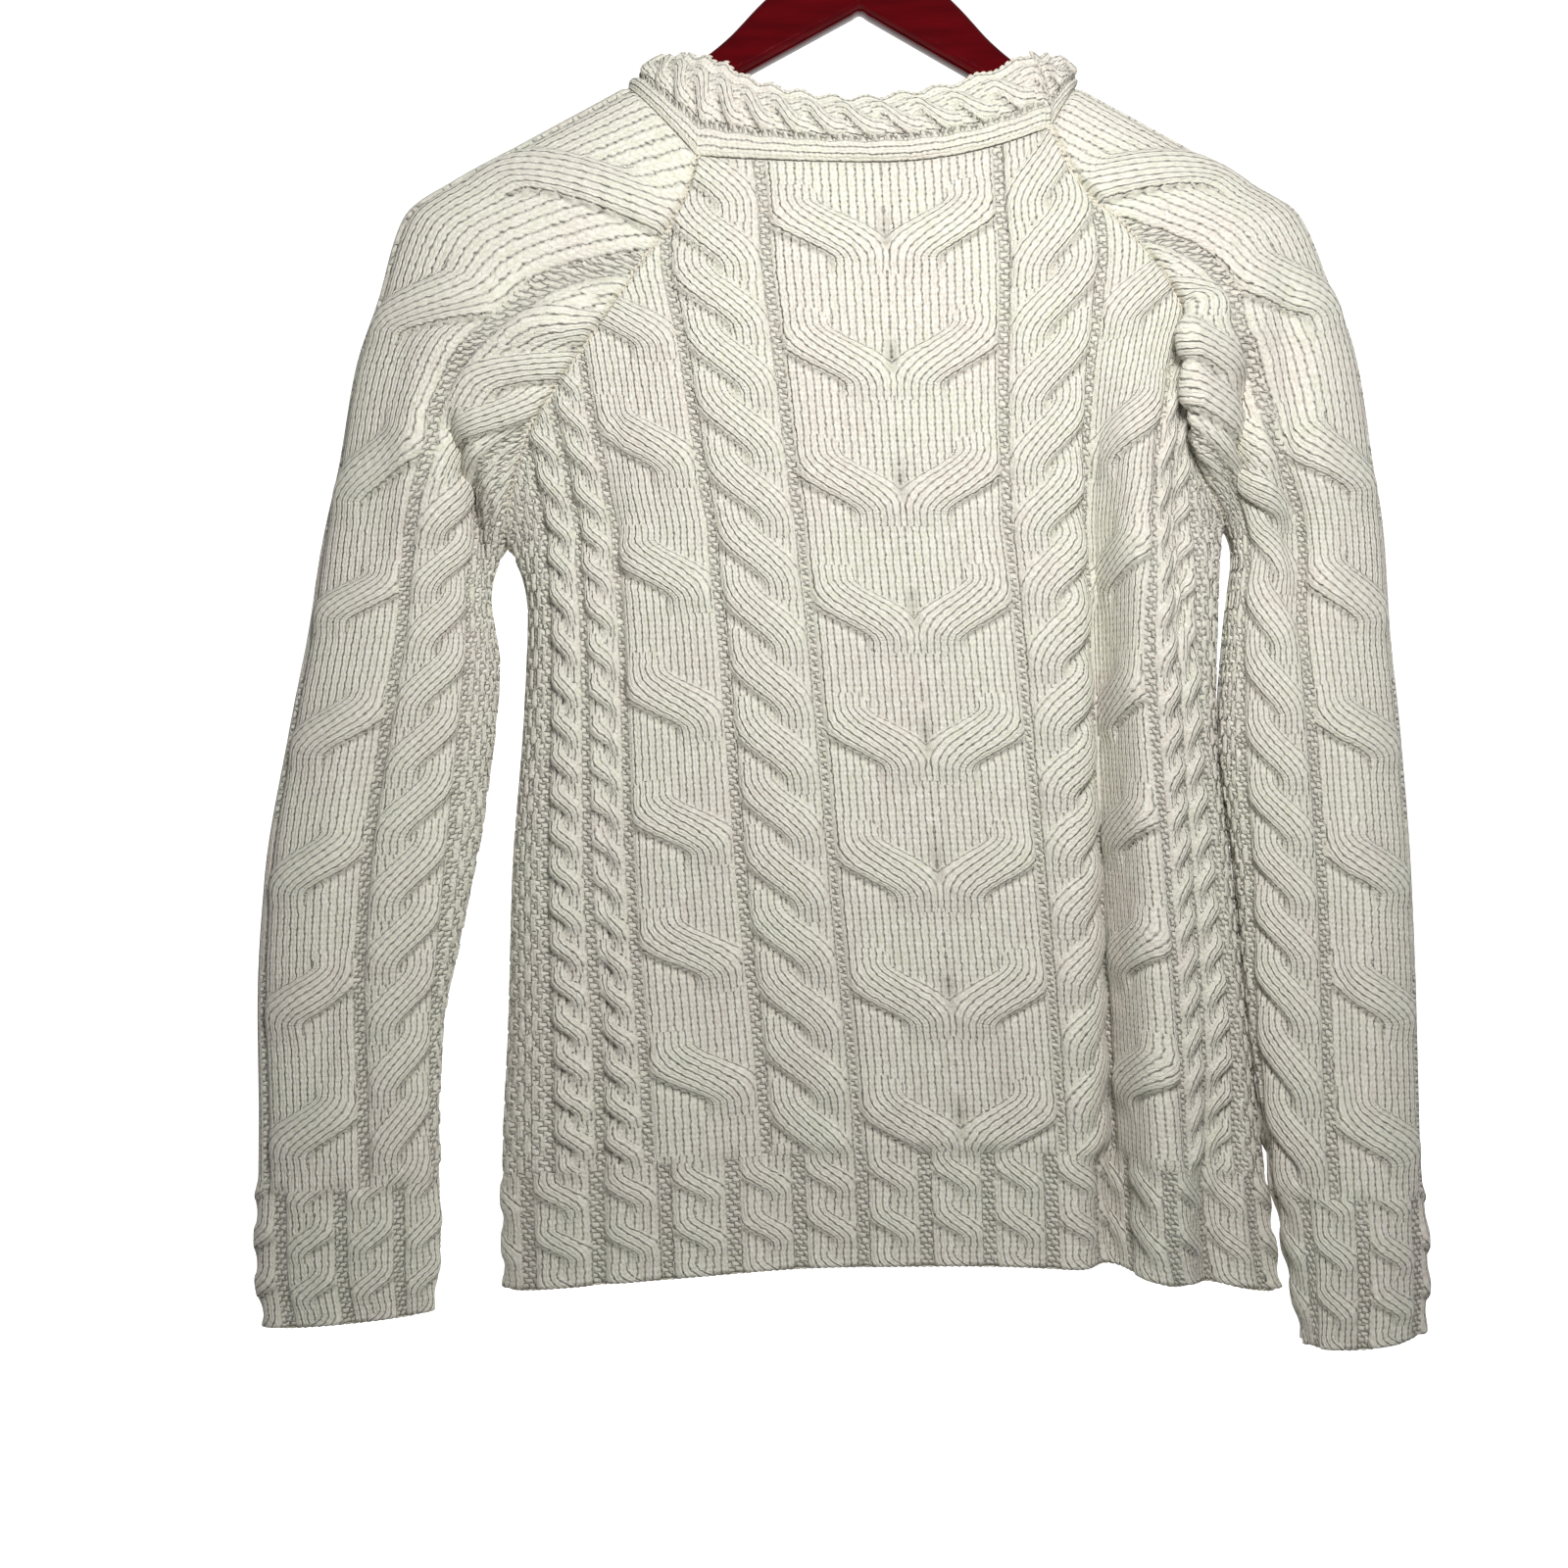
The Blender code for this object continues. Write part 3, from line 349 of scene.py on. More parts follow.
def cable_stitches(rope, across, row, on_strand, crossing):
    """Stitch coordinates in a cable: upright, or along the strand that a cell's middle lies on."""
    off, lean, _, half = crossing_strand(across, row, rope, crossing)
    off, slant = off * half * rope[0], 1.0 + lean**2
    along = off / (STRAND_WALE * np.sqrt(slant)) + 0.5
    u = np.where(on_strand, along, across * rope[0] / STITCH_WIDE)
    v = np.where(on_strand, row + lean * off / slant, row) / STITCH_HIGH
    return u, v


class Chart:
    """Reads a chart: what is knitted at w millimetres from its centre, at a row."""

    def __init__(self, columns, band):
        self.band = band
        kinds, width, pitch, left_first, right_first, turn = zip(*columns)
        self.width, self.pitch, self.turn = np.array([width, pitch, turn], float)
        self.first = np.array([left_first, right_first], float)
        self.start = np.concatenate([[0.0], np.cumsum(self.width)[:-1]])
        self.is_rope, self.is_mirrored, self.is_ladder, self.is_moss = (
            np.isin(kinds, names)
            for names in (("rope", "horseshoe"), "horseshoe", "ladder", "moss"))

    def place(self, w, in_band):
        """What a point lies in, and the measures of the rope there."""
        column = np.searchsorted(self.start, np.abs(w), side="right") - 1
        column = np.clip(column, 0, len(self.start) - 1)
        in_rib = np.mod(w + RIB_PITCH / 2, RIB_PITCH) < RIB_ROPE
        rope = np.where(in_band, in_rib, self.is_rope[column])
        ladder = np.where(in_band, ~in_rib, self.is_ladder[column])
        moss = ~in_band & self.is_moss[column]
        first = np.where(w < 0, *self.first[:, column])
        charted = (self.width[column], self.pitch[column], first, self.turn[column])
        measures = [np.where(in_band, rib, own) for rib, own in zip(RIB_MEASURES, charted)]
        return column, rope, ladder, moss, (*measures, ~in_band & self.is_mirrored[column])

    def across(self, w, column, in_band, base_w):
        """Share of the way across a column, measured like the cell at base_w."""
        rib_start = base_w - np.mod(base_w + RIB_PITCH / 2, RIB_PITCH)
        inner = (np.sign(base_w + 1e-9) * w - self.start[column]) / self.width[column]
        return np.where(in_band, 1.0 - (w - rib_start) / RIB_ROPE, inner)

    def surface(self, w, row, in_band):
        """Height of the knitting and the shade painted into its creases, of the band's pattern or
        of the chart above it.
        """
        column, rope, ladder, moss, measures = self.place(w, in_band)
        width, mirrored = measures[0], measures[4]
        across = self.across(w, column, in_band, w)
        cable, line, _, _ = rope_surface(across, row, measures)
        block = np.where(self.knit_block(w, row), *MOSS_RISE)
        height = np.where(moss, block, np.where(ladder, 0.0, PLAIN_RISE))
        height = np.where(rope, cable, height)
        # Painted shade: dark lines along the cables, darker by a rope's edges and over the sunken
        # ladders, and faint everywhere else
        to_edge = np.where(mirrored, 1.0 - across, np.minimum(across, 1.0 - across))
        side = np.exp(-(to_edge * width / 1.4)**2)
        crease_shade = np.where(rope, np.maximum(line, 0.35 * side), np.where(ladder, 0.35, 0.12))
        return np.where(in_band, RIB_SHARE * height, height), crease_shade

    def read(self, w, row):
        """Height of the knitting, and how much shade is painted where a point lies."""
        above = ease((row - self.band) / BAND_BLEND + 0.5)
        rib, panel = (self.surface(w, row, np.full(w.shape, flag)) for flag in (True, False))
        return tuple(low + (high - low) * above for low, high in zip(rib, panel))

    def knit_block(self, w, row):
        """Broken rib of the side panels: knit and purl blocks that change places."""
        block = np.floor(np.abs(w) / STITCH_WIDE) + np.floor(row / (STITCH_HIGH * MOSS_BLOCK_ROWS))
        return np.mod(block, 2) == 0

    def stitches(self, w, row, corner_w, corner_row):
        """Stitch coordinates of a cell's corners, along the strand that its middle lies on."""
        in_band = row < self.band
        column, rope, ladder, moss, measures = self.place(w, in_band)
        across = self.across(w, column, in_band, w)
        _, _, on_strand, crossing = rope_surface(across, row, measures)
        purl = ladder | (moss & ~self.knit_block(w, row))
        cell = (column, in_band, w, rope, rope & on_strand, crossing, *measures)
        column, in_band, w, rope, on_strand, crossing, *measures = (part[:, None] for part in cell)
        across = self.across(corner_w, column, in_band, w)
        u, v = cable_stitches(measures, across, corner_row, on_strand, crossing)
        u = np.where(rope, u, corner_w / STITCH_WIDE)
        return u, np.where(rope, v, corner_row / STITCH_HIGH), purl


def edge_fade(grid, reach, top, bottom):
    """How much relief a point keeps: none at a sewn edge, all of it further in."""
    across, up = lengths_along(grid, 1), lengths_along(grid, 0)
    fade = ease(across / reach) * ease((across[:, -1:] - across) / reach)
    if top:
        fade = fade * ease((up[-1:] - up) / reach)
    if bottom:
        fade = fade * ease(up / reach)
    return fade


def settle(grid, chart_row, underarm):
    """Evens a plain surface out along its rows where the tube opens into the yoke."""
    near = np.exp(-((chart_row - underarm) / YOKE_FROM)**2)
    near = near * edge_fade(grid, SETTLE_REACH, False, False)
    even = grid.copy()
    for _ in range(SETTLE_STEPS // coarser**2):
        even[1:-1] += 0.5 * near[1:-1, :, None] * ((even[2:] + even[:-2]) / 2.0 - even[1:-1])
    return even


def grid_normals(grid, outward):
    """Unit normals of a grid, on the side that outward points to."""
    normals = unit(np.cross(np.gradient(grid, axis=1), np.gradient(grid, axis=0)))
    return normals * (1.0 if np.sum(normals * outward) > 0 else -1.0)


def corners(values):
    """Values at the four corners of each cell, in the order of its face."""
    four = (values[:-1, :-1], values[:-1, 1:], values[1:, 1:], values[1:, :-1])
    return np.stack(four, axis=-1).reshape(-1, 4)


def middles(values):
    """Values at the middle of each cell."""
    near, next_on, far, above = corners(values).T
    return (near + next_on + far + above) / 4.0


def into_scene(name, data):
    """A new object with this mesh, lamp or camera, in the scene."""
    made = bpy.data.objects.new(name, data)
    bpy.context.scene.collection.objects.link(made)
    return made


def smooth_piece(name, mesh, material, face_outward):
    """A closed mesh as a smooth object of one material, its faces turned outward."""
    work = bmesh.new()
    work.from_mesh(mesh)
    face_outward(work)
    work.to_mesh(mesh)
    work.free()
    mesh.polygons.foreach_set("use_smooth", np.ones(len(mesh.polygons), bool))
    mesh.materials.append(material)
    return into_scene(name, mesh)


def turn_inside_out(work):
    """Reverses the faces of a shell that are all the wrong way round."""
    if work.calc_volume(signed=True) < 0:
        bmesh.ops.reverse_faces(work, faces=work.faces)


def knitted_sheet(name, grid, normals, height, chart_w, chart_row, cells, crease_shade, openness):
    """Thin closed shell: a fine outside with stitches over a plain inside with purl bumps."""
    number = np.arange(grid[..., 0].size).reshape(grid.shape[:2])
    kept = [sorted(set(range(0, size - 1, INNER_STEP)) | {size - 1}) for size in number.shape]
    inside = (grid - normals * CLOTH)[np.ix_(*kept)]
    within = number.size + np.arange(inside[..., 0].size).reshape(inside.shape[:2])
    quads = corners(number)
    faces = quads.tolist() + corners(within)[:, ::-1][:, [3, 0, 1, 2]].tolist()
    for fine, coarse, kept_at, flip in (
        (number[0], within[0], kept[1], True),
        (number[-1], within[-1], kept[1], False),
        (number[:, 0], within[:, 0], kept[0], False),
        (number[:, -1], within[:, -1], kept[0], True),
    ):
        for k in range(len(coarse) - 1):
            rim = [coarse[k + 1], coarse[k], *fine[kept_at[k]:kept_at[k + 1] + 1]]
            faces.append([int(v) for v in (rim[::-1] if flip else rim)])
    outer = grid + normals * height[..., None]
    points = np.concatenate([outer.reshape(-1, 3), inside.reshape(-1, 3)]) * MM
    mesh = bpy.data.meshes.new(name)
    mesh.from_pydata(points.tolist(), [], faces)

    # Stitch places for the outside's own faces, one by one, and for the rest by vertex
    u, v, purl = cells
    vertex = np.zeros(len(mesh.loops), np.int32)
    mesh.loops.foreach_get("vertex_index", vertex)
    own, outside = quads.size, vertex[:quads.size]
    place = np.stack([chart_w / STITCH_WIDE, chart_row / STITCH_HIGH], axis=-1)
    behind = place[np.ix_(*kept)] + np.array([0.0, 1.0])
    uv = np.concatenate([place.reshape(-1, 2), behind.reshape(-1, 2)])[vertex]
    uv[:own, 0], uv[:own, 1] = u.reshape(-1), v.reshape(-1)
    # The cloth colours hold purl, painted shade and how far slits gape; the inside and the rims get
    # a flat share of painted shade
    tint = np.tile((1.0, 0.3, 0.0, 1.0), (len(vertex), 1))
    tint[:own, 0] = np.repeat(purl, 4)
    tint[:own, 1] = crease_shade.reshape(-1)[outside]
    tint[:own, 2] = openness.reshape(-1)[outside]
    mesh.uv_layers.new(name="stitches").data.foreach_set("uv", uv.reshape(-1))
    colours = mesh.color_attributes.new("cloth", "FLOAT_COLOR", "CORNER")
    colours.data.foreach_set("color", tint.reshape(-1))
    return smooth_piece(name, mesh, wool, turn_inside_out)


def linear(code):
    """A hex colour as linear red, green, blue and alpha."""
    parts = [int(code[k:k + 2], 16) / 255.0 for k in (1, 3, 5)]
    return tuple(p / 12.92 if p <= 0.04045 else ((p + 0.055) / 1.055)**2.4 for p in parts) + (1.0,)


def fill(node, inputs):
    """Links the nodes and sockets among the inputs to a node, and sets the plain values."""
    for slot, value in inputs.items():
        if isinstance(value, bpy.types.Node):
            value = value.outputs[0]
        if isinstance(value, bpy.types.NodeSocket):
            node.id_data.links.new(value, node.inputs[slot])
        else:
            node.inputs[slot].default_value = value


def add(tree, kind, inputs=None, **settings):
    """One node, with its settings and what goes into it."""
    node = tree.nodes.new(kind)
    for setting, value in settings.items():
        setattr(node, setting, value)
    fill(node, inputs or {})
    return node


def new_material(name):
    """A material, its node tree, its main shader and the places on the object."""
    material = bpy.data.materials.new(name)
    material.use_nodes = True
    tree = material.node_tree
    where = add(tree, "ShaderNodeTexCoord").outputs["Object"]
    return material, tree, tree.nodes["Principled BSDF"], where


# Name, scale and detail of each noise in the wool. Real fibres are too fine to show, so flecks
# and hair are drawn as coarse as they need to be
WOOL_NOISES = (
    ("wander", 300.0, 2.0),
    ("uneven", 170.0, 1.0),
    ("cloud", 24.0, 2.0),
    ("fleck", 420.0, 3.0),
    ("hair", 1500.0, 3.0),
)

# The arithmetic that draws a stitch from its place: name of a step, what it does, and numbers or
# the names of earlier steps
STITCH_STEPS = (
    # The yarn wanders by about a quarter of a stitch
    ("stray", "MULTIPLY_ADD", "wander", 0.5, -0.25),
    ("u", "ADD", "u", "stray"),
    ("v", "MULTIPLY_ADD", "stray", 1.4, "v"),
    # Knit side: each wale is two legs that lean up and out, with a slit at every row between wales
    ("side", "FRACT", "u"),
    ("side", "MULTIPLY_ADD", "side", 2.0, -1.0),
    ("side", "ABSOLUTE", "side"),
    ("to_gap", "SUBTRACT", 1.0, "side"),
    ("wale", "MULTIPLY", "to_gap", 2.6),
    ("wale", "MINIMUM", "wale", 1.0),
    ("wale", "POWER", "wale", 0.5),
    ("groove", "MULTIPLY_ADD", "side", -4.5, 1.0),
    ("groove", "MAXIMUM", "groove", 0.0),
    ("loop", "MULTIPLY_ADD", "side", -0.55, "v"),
    ("loop", "FRACT", "loop"),
    ("loop", "MULTIPLY", "loop", math.pi),
    ("loop", "SINE", "loop"),
    ("loop", "POWER", "loop", 0.4),
    ("legs", "MULTIPLY_ADD", "loop", 0.3, 0.7),
    ("legs", "MULTIPLY_ADD", "groove", -0.2, "legs"),
    ("knit", "MULTIPLY", "wale", "legs"),
    ("beat", "MULTIPLY", "v", 2.0 * math.pi),
    ("beat", "SINE", "beat"),
    ("beat", "MULTIPLY_ADD", "beat", 0.75, 0.25),
    ("beat", "MAXIMUM", "beat", 0.0),
    ("slit", "MULTIPLY_ADD", "to_gap", -3.2, 1.0),
    ("slit", "MAXIMUM", "slit", 0.0),
    ("slit", "MULTIPLY", "slit", "beat"),
    # Purl side: slanting bumps, one row shifted half a stitch from the next
    ("across", "FLOOR", "v"),
    ("across", "MULTIPLY_ADD", "across", 0.5, "u"),
    ("across", "FRACT", "across"),
    ("tilted", "MULTIPLY_ADD", "across", 0.45, "v"),
    ("tilted", "FRACT", "tilted"),
    ("across", "MULTIPLY", "across", math.pi),
    ("across", "SINE", "across"),
    ("across", "POWER", "across", 0.4),
    ("tilted", "MULTIPLY", "tilted", math.pi),
    ("tilted", "SINE", "tilted"),
    ("tilted", "POWER", "tilted", 0.6),
    ("bead", "MULTIPLY", "across", "tilted"),
    ("pit", "SUBTRACT", 1.0, "bead"),
    ("pit", "POWER", "pit", 3.0),
    # The side that faces out
    ("height", "SUBTRACT", "bead", "knit"),
    ("height", "MULTIPLY_ADD", "height", "purl", "knit"),
    ("dark", "SUBTRACT", "pit", "slit"),
    ("dark", "MULTIPLY_ADD", "dark", "purl", "slit"),
    # Some slits stay nearly closed; where the cloth is stretched they gape, and the shade inside
    # them is painted dark
    ("gape", "MULTIPLY_ADD", "opened", 0.25, 0.84),
    ("gape", "MULTIPLY", "gape", "often"),
    ("hole", "MULTIPLY", "dark", "gape"),
    # Painted shade: darker down in the valleys of the stitches, in the slits and pits, and in the
    # creases of the cables
    ("between", "SUBTRACT", 1.0, "height"),
    ("between", "POWER", "between", 1.6),
    ("between", "MULTIPLY", "between", 0.2),
    ("shade", "MAXIMUM", "hole", "between"),
    ("shade", "MULTIPLY_ADD", "crease_shade", 0.42, "shade"),
    ("shade", "MINIMUM", "shade", 0.92),
    ("relief", "MULTIPLY_ADD", "dark", -0.5, "height"),
    ("relief", "MULTIPLY_ADD", "hair", 0.42, "relief"),
)


def knitted_wool():
    """Three-ply aran wool, hand washed: matt, slightly hairy, cream, with brown shade painted into
    its creases, valleys and slits.
    """
    material, tree, shader, where = new_material("knitted_aran_wool")
    place = add(tree, "ShaderNodeUVMap", uv_map="stitches")
    stitch = add(tree, "ShaderNodeSeparateXYZ", {0: place}).outputs
    cloth = add(tree, "ShaderNodeAttribute", attribute_name="cloth").outputs["Color"]
    masks = add(tree, "ShaderNodeSeparateColor", {0: cloth}).outputs
    made = {"u": stitch[0], "v": stitch[1],
            "purl": masks[0], "crease_shade": masks[1], "opened": masks[2]}
    for name, scale, detail in WOOL_NOISES:
        inputs = {"Vector": where, "Scale": scale, "Detail": detail}
        made[name] = add(tree, "ShaderNodeTexNoise", inputs)
    made["often"] = add(tree, "ShaderNodeMapRange", {0: made["uneven"], 1: 0.36, 2: 0.6, 3: 0.25})
    for name, operation, *terms in STITCH_STEPS:
        inputs = {k: made.get(term, term) for k, term in enumerate(terms)}
        made[name] = add(tree, "ShaderNodeMath", inputs, operation=operation)

    # Greenish and rosy cream lie in soft patches, as hand-washed undyed wool does
    patch = add(tree, "ShaderNodeMapRange", {0: made["cloud"], 1: 0.42, 2: 0.62})
    speck = add(tree, "ShaderNodeMapRange", {0: made["fleck"], 1: 0.4, 2: 0.66})
    tone = linear("#E6E5D2")
    # The patches and flecks are the wool's own tone; the last mix is painted shade, brown in
    # creases, valleys and slits
    for share, code in ((patch, "#E6DED1"), (speck, "#F3F0E4"), (made["shade"], "#4E4534")):
        inputs = {0: share, 6: tone, 7: linear(code)}
        tone = add(tree, "ShaderNodeMix", inputs, data_type="RGBA").outputs[2]
    bump = add(tree, "ShaderNodeBump",
               {"Height": made["relief"], "Strength": 1.0, "Distance": 0.0011})
    fill(shader, {"Base Color": tone, "Normal": bump, "Roughness": 0.92,
                  "Specular IOR Level": 0.25, "Sheen Weight": 0.25, "Sheen Roughness": 0.6})
    return material


def sewing_wool():
    """The same wool as a single strand: hairy, with painted shade that darkens it where its hairy
    bump sinks.
    """
    material, tree, shader, where = new_material("twisted_wool_yarn")
    hair = add(tree, "ShaderNodeTexNoise", {"Vector": where, "Scale": 1400.0, "Detail": 3.0})
    tone = add(tree, "ShaderNodeMix", {0: hair, 6: linear("#CFC5B4"), 7: linear("#E9E4D6")},
               data_type="RGBA")
    bump = add(tree, "ShaderNodeBump", {"Height": hair, "Strength": 0.6, "Distance": 0.0006})
    fill(shader, {"Base Color": tone.outputs[2], "Normal": bump, "Roughness": 0.93,
                  "Specular IOR Level": 0.25})
    return material


def knit(name, grid, chart_w, chart_row, chart, outward, openness, underarm):
    """Raises a plain surface by its chart and gives it stitches."""
    grid = settle(grid, chart_row, underarm)
    normals = grid_normals(grid, outward)
    height, crease_shade = chart.read(chart_w, chart_row)
    height = height * edge_fade(grid, RELIEF_REACH, True, False)
    cells = chart.stitches(middles(chart_w), middles(chart_row), corners(chart_w),
                           corners(chart_row))
    made = knitted_sheet(name, grid, normals, height, chart_w, chart_row, cells, crease_shade, openness)
    return made, normals


def new_tree(name, takes, sizes, gives):
    """A Geometry Nodes tree with named inputs, and what its group input gives."""
    tree = bpy.data.node_groups.new(name, "GeometryNodeTree")
    tree.is_modifier = True
    sockets = ((takes, "Geometry", None), *sizes, ("Material", "Material", None))
    for label, kind, standard in sockets:
        socket = tree.interface.new_socket(label, in_out="INPUT", socket_type="NodeSocket" + kind)
        if standard is not None:
            socket.default_value = standard
    tree.interface.new_socket(gives, in_out="OUTPUT", socket_type="NodeSocketGeometry")
    return tree, add(tree, "NodeGroupInput").outputs


def close_tree(tree, given, shape):
    """Ends a tree with real geometry, shaded smooth and in its material."""
    real = add(tree, "GeometryNodeRealizeInstances", {0: shape})
    soft = add(tree, "GeometryNodeSetShadeSmooth", {0: real})
    dressed = add(tree, "GeometryNodeSetMaterial", {0: soft, "Material": given["Material"]})
    add(tree, "NodeGroupOutput", {0: dressed})
    return tree


def grow(name, mesh, tree, inputs):
    """What a tree makes along the lines of a mesh, as an object with a plain mesh."""
    made = into_scene(name, mesh)
    modifier = made.modifiers.new(name, "NODES")
    modifier.node_group = tree
    for item in tree.interface.items_tree:
        if item.in_out == "INPUT" and item.name in inputs:
            modifier[item.identifier] = inputs[item.name]
    shown = made.evaluated_get(bpy.context.evaluated_depsgraph_get())
    plain = bpy.data.meshes.new_from_object(shown)
    made.modifiers.remove(modifier)
    made.data = plain
    return made


def stitch_line_tree():
    """Geometry Nodes: V-shaped stitches of yarn, one after another along every line of a mesh."""
    sizes = (("Spacing", "Float", 0.003), ("Leg length", "Float", 0.0036),
             ("Yarn thickness", "Float", 0.0016), ("Lean", "Float", 0.46), ("Seed", "Int", 7))
    tree, given = new_tree("stitches_along_a_line", "Lines", sizes, "Stitches")
    thickness = given["Yarn thickness"]
    line = add(tree, "GeometryNodeMeshToCurve", {0: given["Lines"]})
    even = add(tree, "GeometryNodeResampleCurve", {"Curve": line, "Length": given["Spacing"]},
               mode="LENGTH")
    out = add(tree, "GeometryNodeInputNamedAttribute", {0: "out"}, data_type="FLOAT_VECTOR")
    along = add(tree, "GeometryNodeInputTangent")
    upright = add(tree, "FunctionNodeAlignRotationToVector", {"Vector": out}, axis="Z")
    turned = add(tree, "FunctionNodeAlignRotationToVector", {"Rotation": upright, "Vector": along},
                 axis="X", pivot_axis="Z")
    wander = add(tree, "FunctionNodeRandomValue",
                 {0: (-0.06, -0.06, -0.08), 1: (0.06, 0.06, 0.08), "Seed": given["Seed"]},
                 data_type="FLOAT_VECTOR")
    loose = add(tree, "FunctionNodeRotateRotation", {0: turned, 1: wander}, rotation_space="LOCAL")
    bead = add(tree, "GeometryNodeMeshUVSphere", {"Segments": 6, "Rings": 5, "Radius": 0.5})
    shape = add(tree, "ShaderNodeCombineXYZ", {0: given["Leg length"], 1: thickness, 2: thickness})
    pair = add(tree, "GeometryNodeJoinGeometry")
    for hand in (-1, 1):
        offset = add(tree, "ShaderNodeMath", {0: thickness, 1: 0.52 * hand}, operation="MULTIPLY")
        place = add(tree, "ShaderNodeCombineXYZ", {1: offset})
        slant = add(tree, "ShaderNodeMath", {0: given["Lean"], 1: hand}, operation="MULTIPLY")
        turn = add(tree, "ShaderNodeCombineXYZ", {2: slant})
        leg = add(tree, "GeometryNodeTransform", {"Geometry": bead, "Scale": shape,
                                                  "Translation": place, "Rotation": turn})
        fill(pair, {0: leg})
    spread = add(tree, "GeometryNodeInstanceOnPoints",
                 {"Points": even, "Instance": pair, "Rotation": loose})
    return close_tree(tree, given, spread)


def carry(piece, node=None):
    """Every piece rides on the one body; one with a node stands for that solid."""
    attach(piece, "root")
    if node:
        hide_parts(node)


def sew(name, grid, normals, borders, stitch):
    """Stitches along borders of a sheet, each line sunk a little into it, as one plain mesh."""
    points, outward, edges = [], [], []
    for pick, sink in borders:
        edges += [(len(points) + k, len(points) + k + 1) for k in range(len(grid[pick]) - 1)]
        points += ((grid[pick] - normals[pick] * sink) * MM).tolist()
        outward += normals[pick].tolist()
    mesh = bpy.data.meshes.new(name)
    mesh.from_pydata(points, edges, [])
    attribute = mesh.attributes.new("out", "FLOAT_VECTOR", "POINT")
    attribute.data.foreach_set("vector", np.ravel(outward))
    spacing, leg, thickness, lean = stitch
    made = grow(name, mesh, line_tree, {
        "Spacing": spacing * MM, "Leg length": leg * MM, "Yarn thickness": thickness * MM,
        "Lean": lean, "Material": yarn})
    carry(made)
    return made


# Spacing, leg length, thickness and lean of the stitches of a sewn seam and of a cast-on edge
SEAM_STITCH = (3.0, 3.4, 1.6, 0.46)
CAST_ON_STITCH = (3.4, 4.6, 1.7, 0.12)
CAST_ON = ((np.s_[0], CLOTH / 2),)
SEAM_SINK = 0.1

wool = knitted_wool()
yarn = sewing_wool()
line_tree = stitch_line_tree()
coarser = 1
body_chart = Chart(BODY_CHART, HEM_BAND)
grid, chart_w, chart_row = plain_body(-1, BACK_FOLDS, 0.0, *BACK_GRID)
stretched = 0.12 + 0.75 * ease((chart_row - STRETCH_ROW) / STRETCH_ROWS)
back, normals = knit("back_knit", grid, chart_w, chart_row, body_chart, np.array([0, -1.0, 0]),
                     stretched, UNDERARM_ROW)
both_edges = ((np.s_[:, 0], SEAM_SINK), (np.s_[:, -1], SEAM_SINK))
back_seams = sew("back_seams", grid, normals, both_edges, SEAM_STITCH)
back_cast_on = sew("back_cast_on", grid, normals, CAST_ON, CAST_ON_STITCH)
carry(back, "back")


# FRONT
# Knitted in the same wool and on the same chart as the back, with a lower neckline, and sewn to
# the back down both sides.
FRONT_NECK_DROP = 43.0
FRONT_GRID = (116, 240)
FRONT_FOLDS = (
    (-96, -420, -112, -790, 15.0, -13.0, 0.0),
    (-62, -430, -70, -790, 22.0, 7.0, 0.0),
    (92, -360, 118, -780, 17.0, -16.0, 0.0),
    (30, -520, 26, -800, 30.0, 5.0, 0.0),
)
grid, chart_w, chart_row = plain_body(1, FRONT_FOLDS, FRONT_NECK_DROP, *FRONT_GRID)
stretched = 0.12 + 0.6 * ease((chart_row - STRETCH_ROW) / STRETCH_ROWS)
front, normals = knit("front_knit", grid, chart_w, chart_row, body_chart, np.array([0, 1.0, 0]),
                      stretched, UNDERARM_ROW)
front_cast_on = sew("front_cast_on", grid, normals, CAST_ON, CAST_ON_STITCH)
carry(front, "front")


# SLEEVES
# Knitted from the cuff up and sewn into a tube; the cap above the underarm is sewn between back
# and front. The top of each arm lies over the hanger, a wide rope runs down the outside of it.
CUFF_BAND = 68.0
SLEEVE_UNDERARM_ROW = 385.0
SLEEVE_NECK_ROW = 591.0
SLEEVE_HALF_CHART = 135.0
SLEEVE_ROUND = 2.4
SLEEVE_GRID = (94, 340)
SLEEVE_CHART = (
    ("plain", 10.0, 1, 0, 0, 1),
    ("ladder", 3.0, 1, 0, 0, 1),
    ("rope", 47.0, 64.5, 98.0, 92.0, 0.46),
    ("ladder", 5.0, 1, 0, 0, 1),
    ("rope", 36.0, 31.0, 96.0, 88.0, 1.05),
    ("ladder", 4.0, 1, 0, 0, 1),
    ("moss", 30.0, 1, 0, 0, 1),
)
SLEEVE_CHART_WIDTH = (
    (0, 108), (120, 112), (250, 124), (350, 135), (385, 135), (440, 104), (500, 76), (550, 56),
    (591, 40),
)

# row, x, y, z of the outer fold, from the cuff over the shoulder to the neckband
LEFT_FOLD = (
    (0, -293, -18, -765),
    (30, -297, -18, -737),
    (97, -297, -16, -668),
    (160, -298, -14, -606),
    (222, -295, -12, -545),
    (290, -284, -8, -473),
    (350, -273.5, -4, -412),
    (385, -271, 0, -385),
    (422, -261, 0, -341),
    (456, -252, 0, -290),
    (487, -241, 0, -256),
    (512, -228, 0, -214),
    (530, -203, 0, -196),
    (551, -171, 0, -178.5),
    (575, -138, 0, -160.5),
    (591, -117, 0, -149),
)
RIGHT_FOLD = (
    (0, 273, -24, -764),
    (30, 275, -24, -737),
    (97, 273, -20, -668),
    (160, 273, -16, -606),
    (222, 272, -12, -545),
    (290, 268, -8, -473),
    (350, 263.5, -4, -412),
    (385, 263, 0, -376),
    (422, 257, 0, -340),
    (456, 248, 0, -285),
    (487, 234, 0, -247),
    (512, 219, 0, -213),
    (530, 200, 0, -200.5),
    (551, 168, 0, -182.5),
    (575, 130, 0, -161.5),
    (591, 108, 0, -149.5),
)

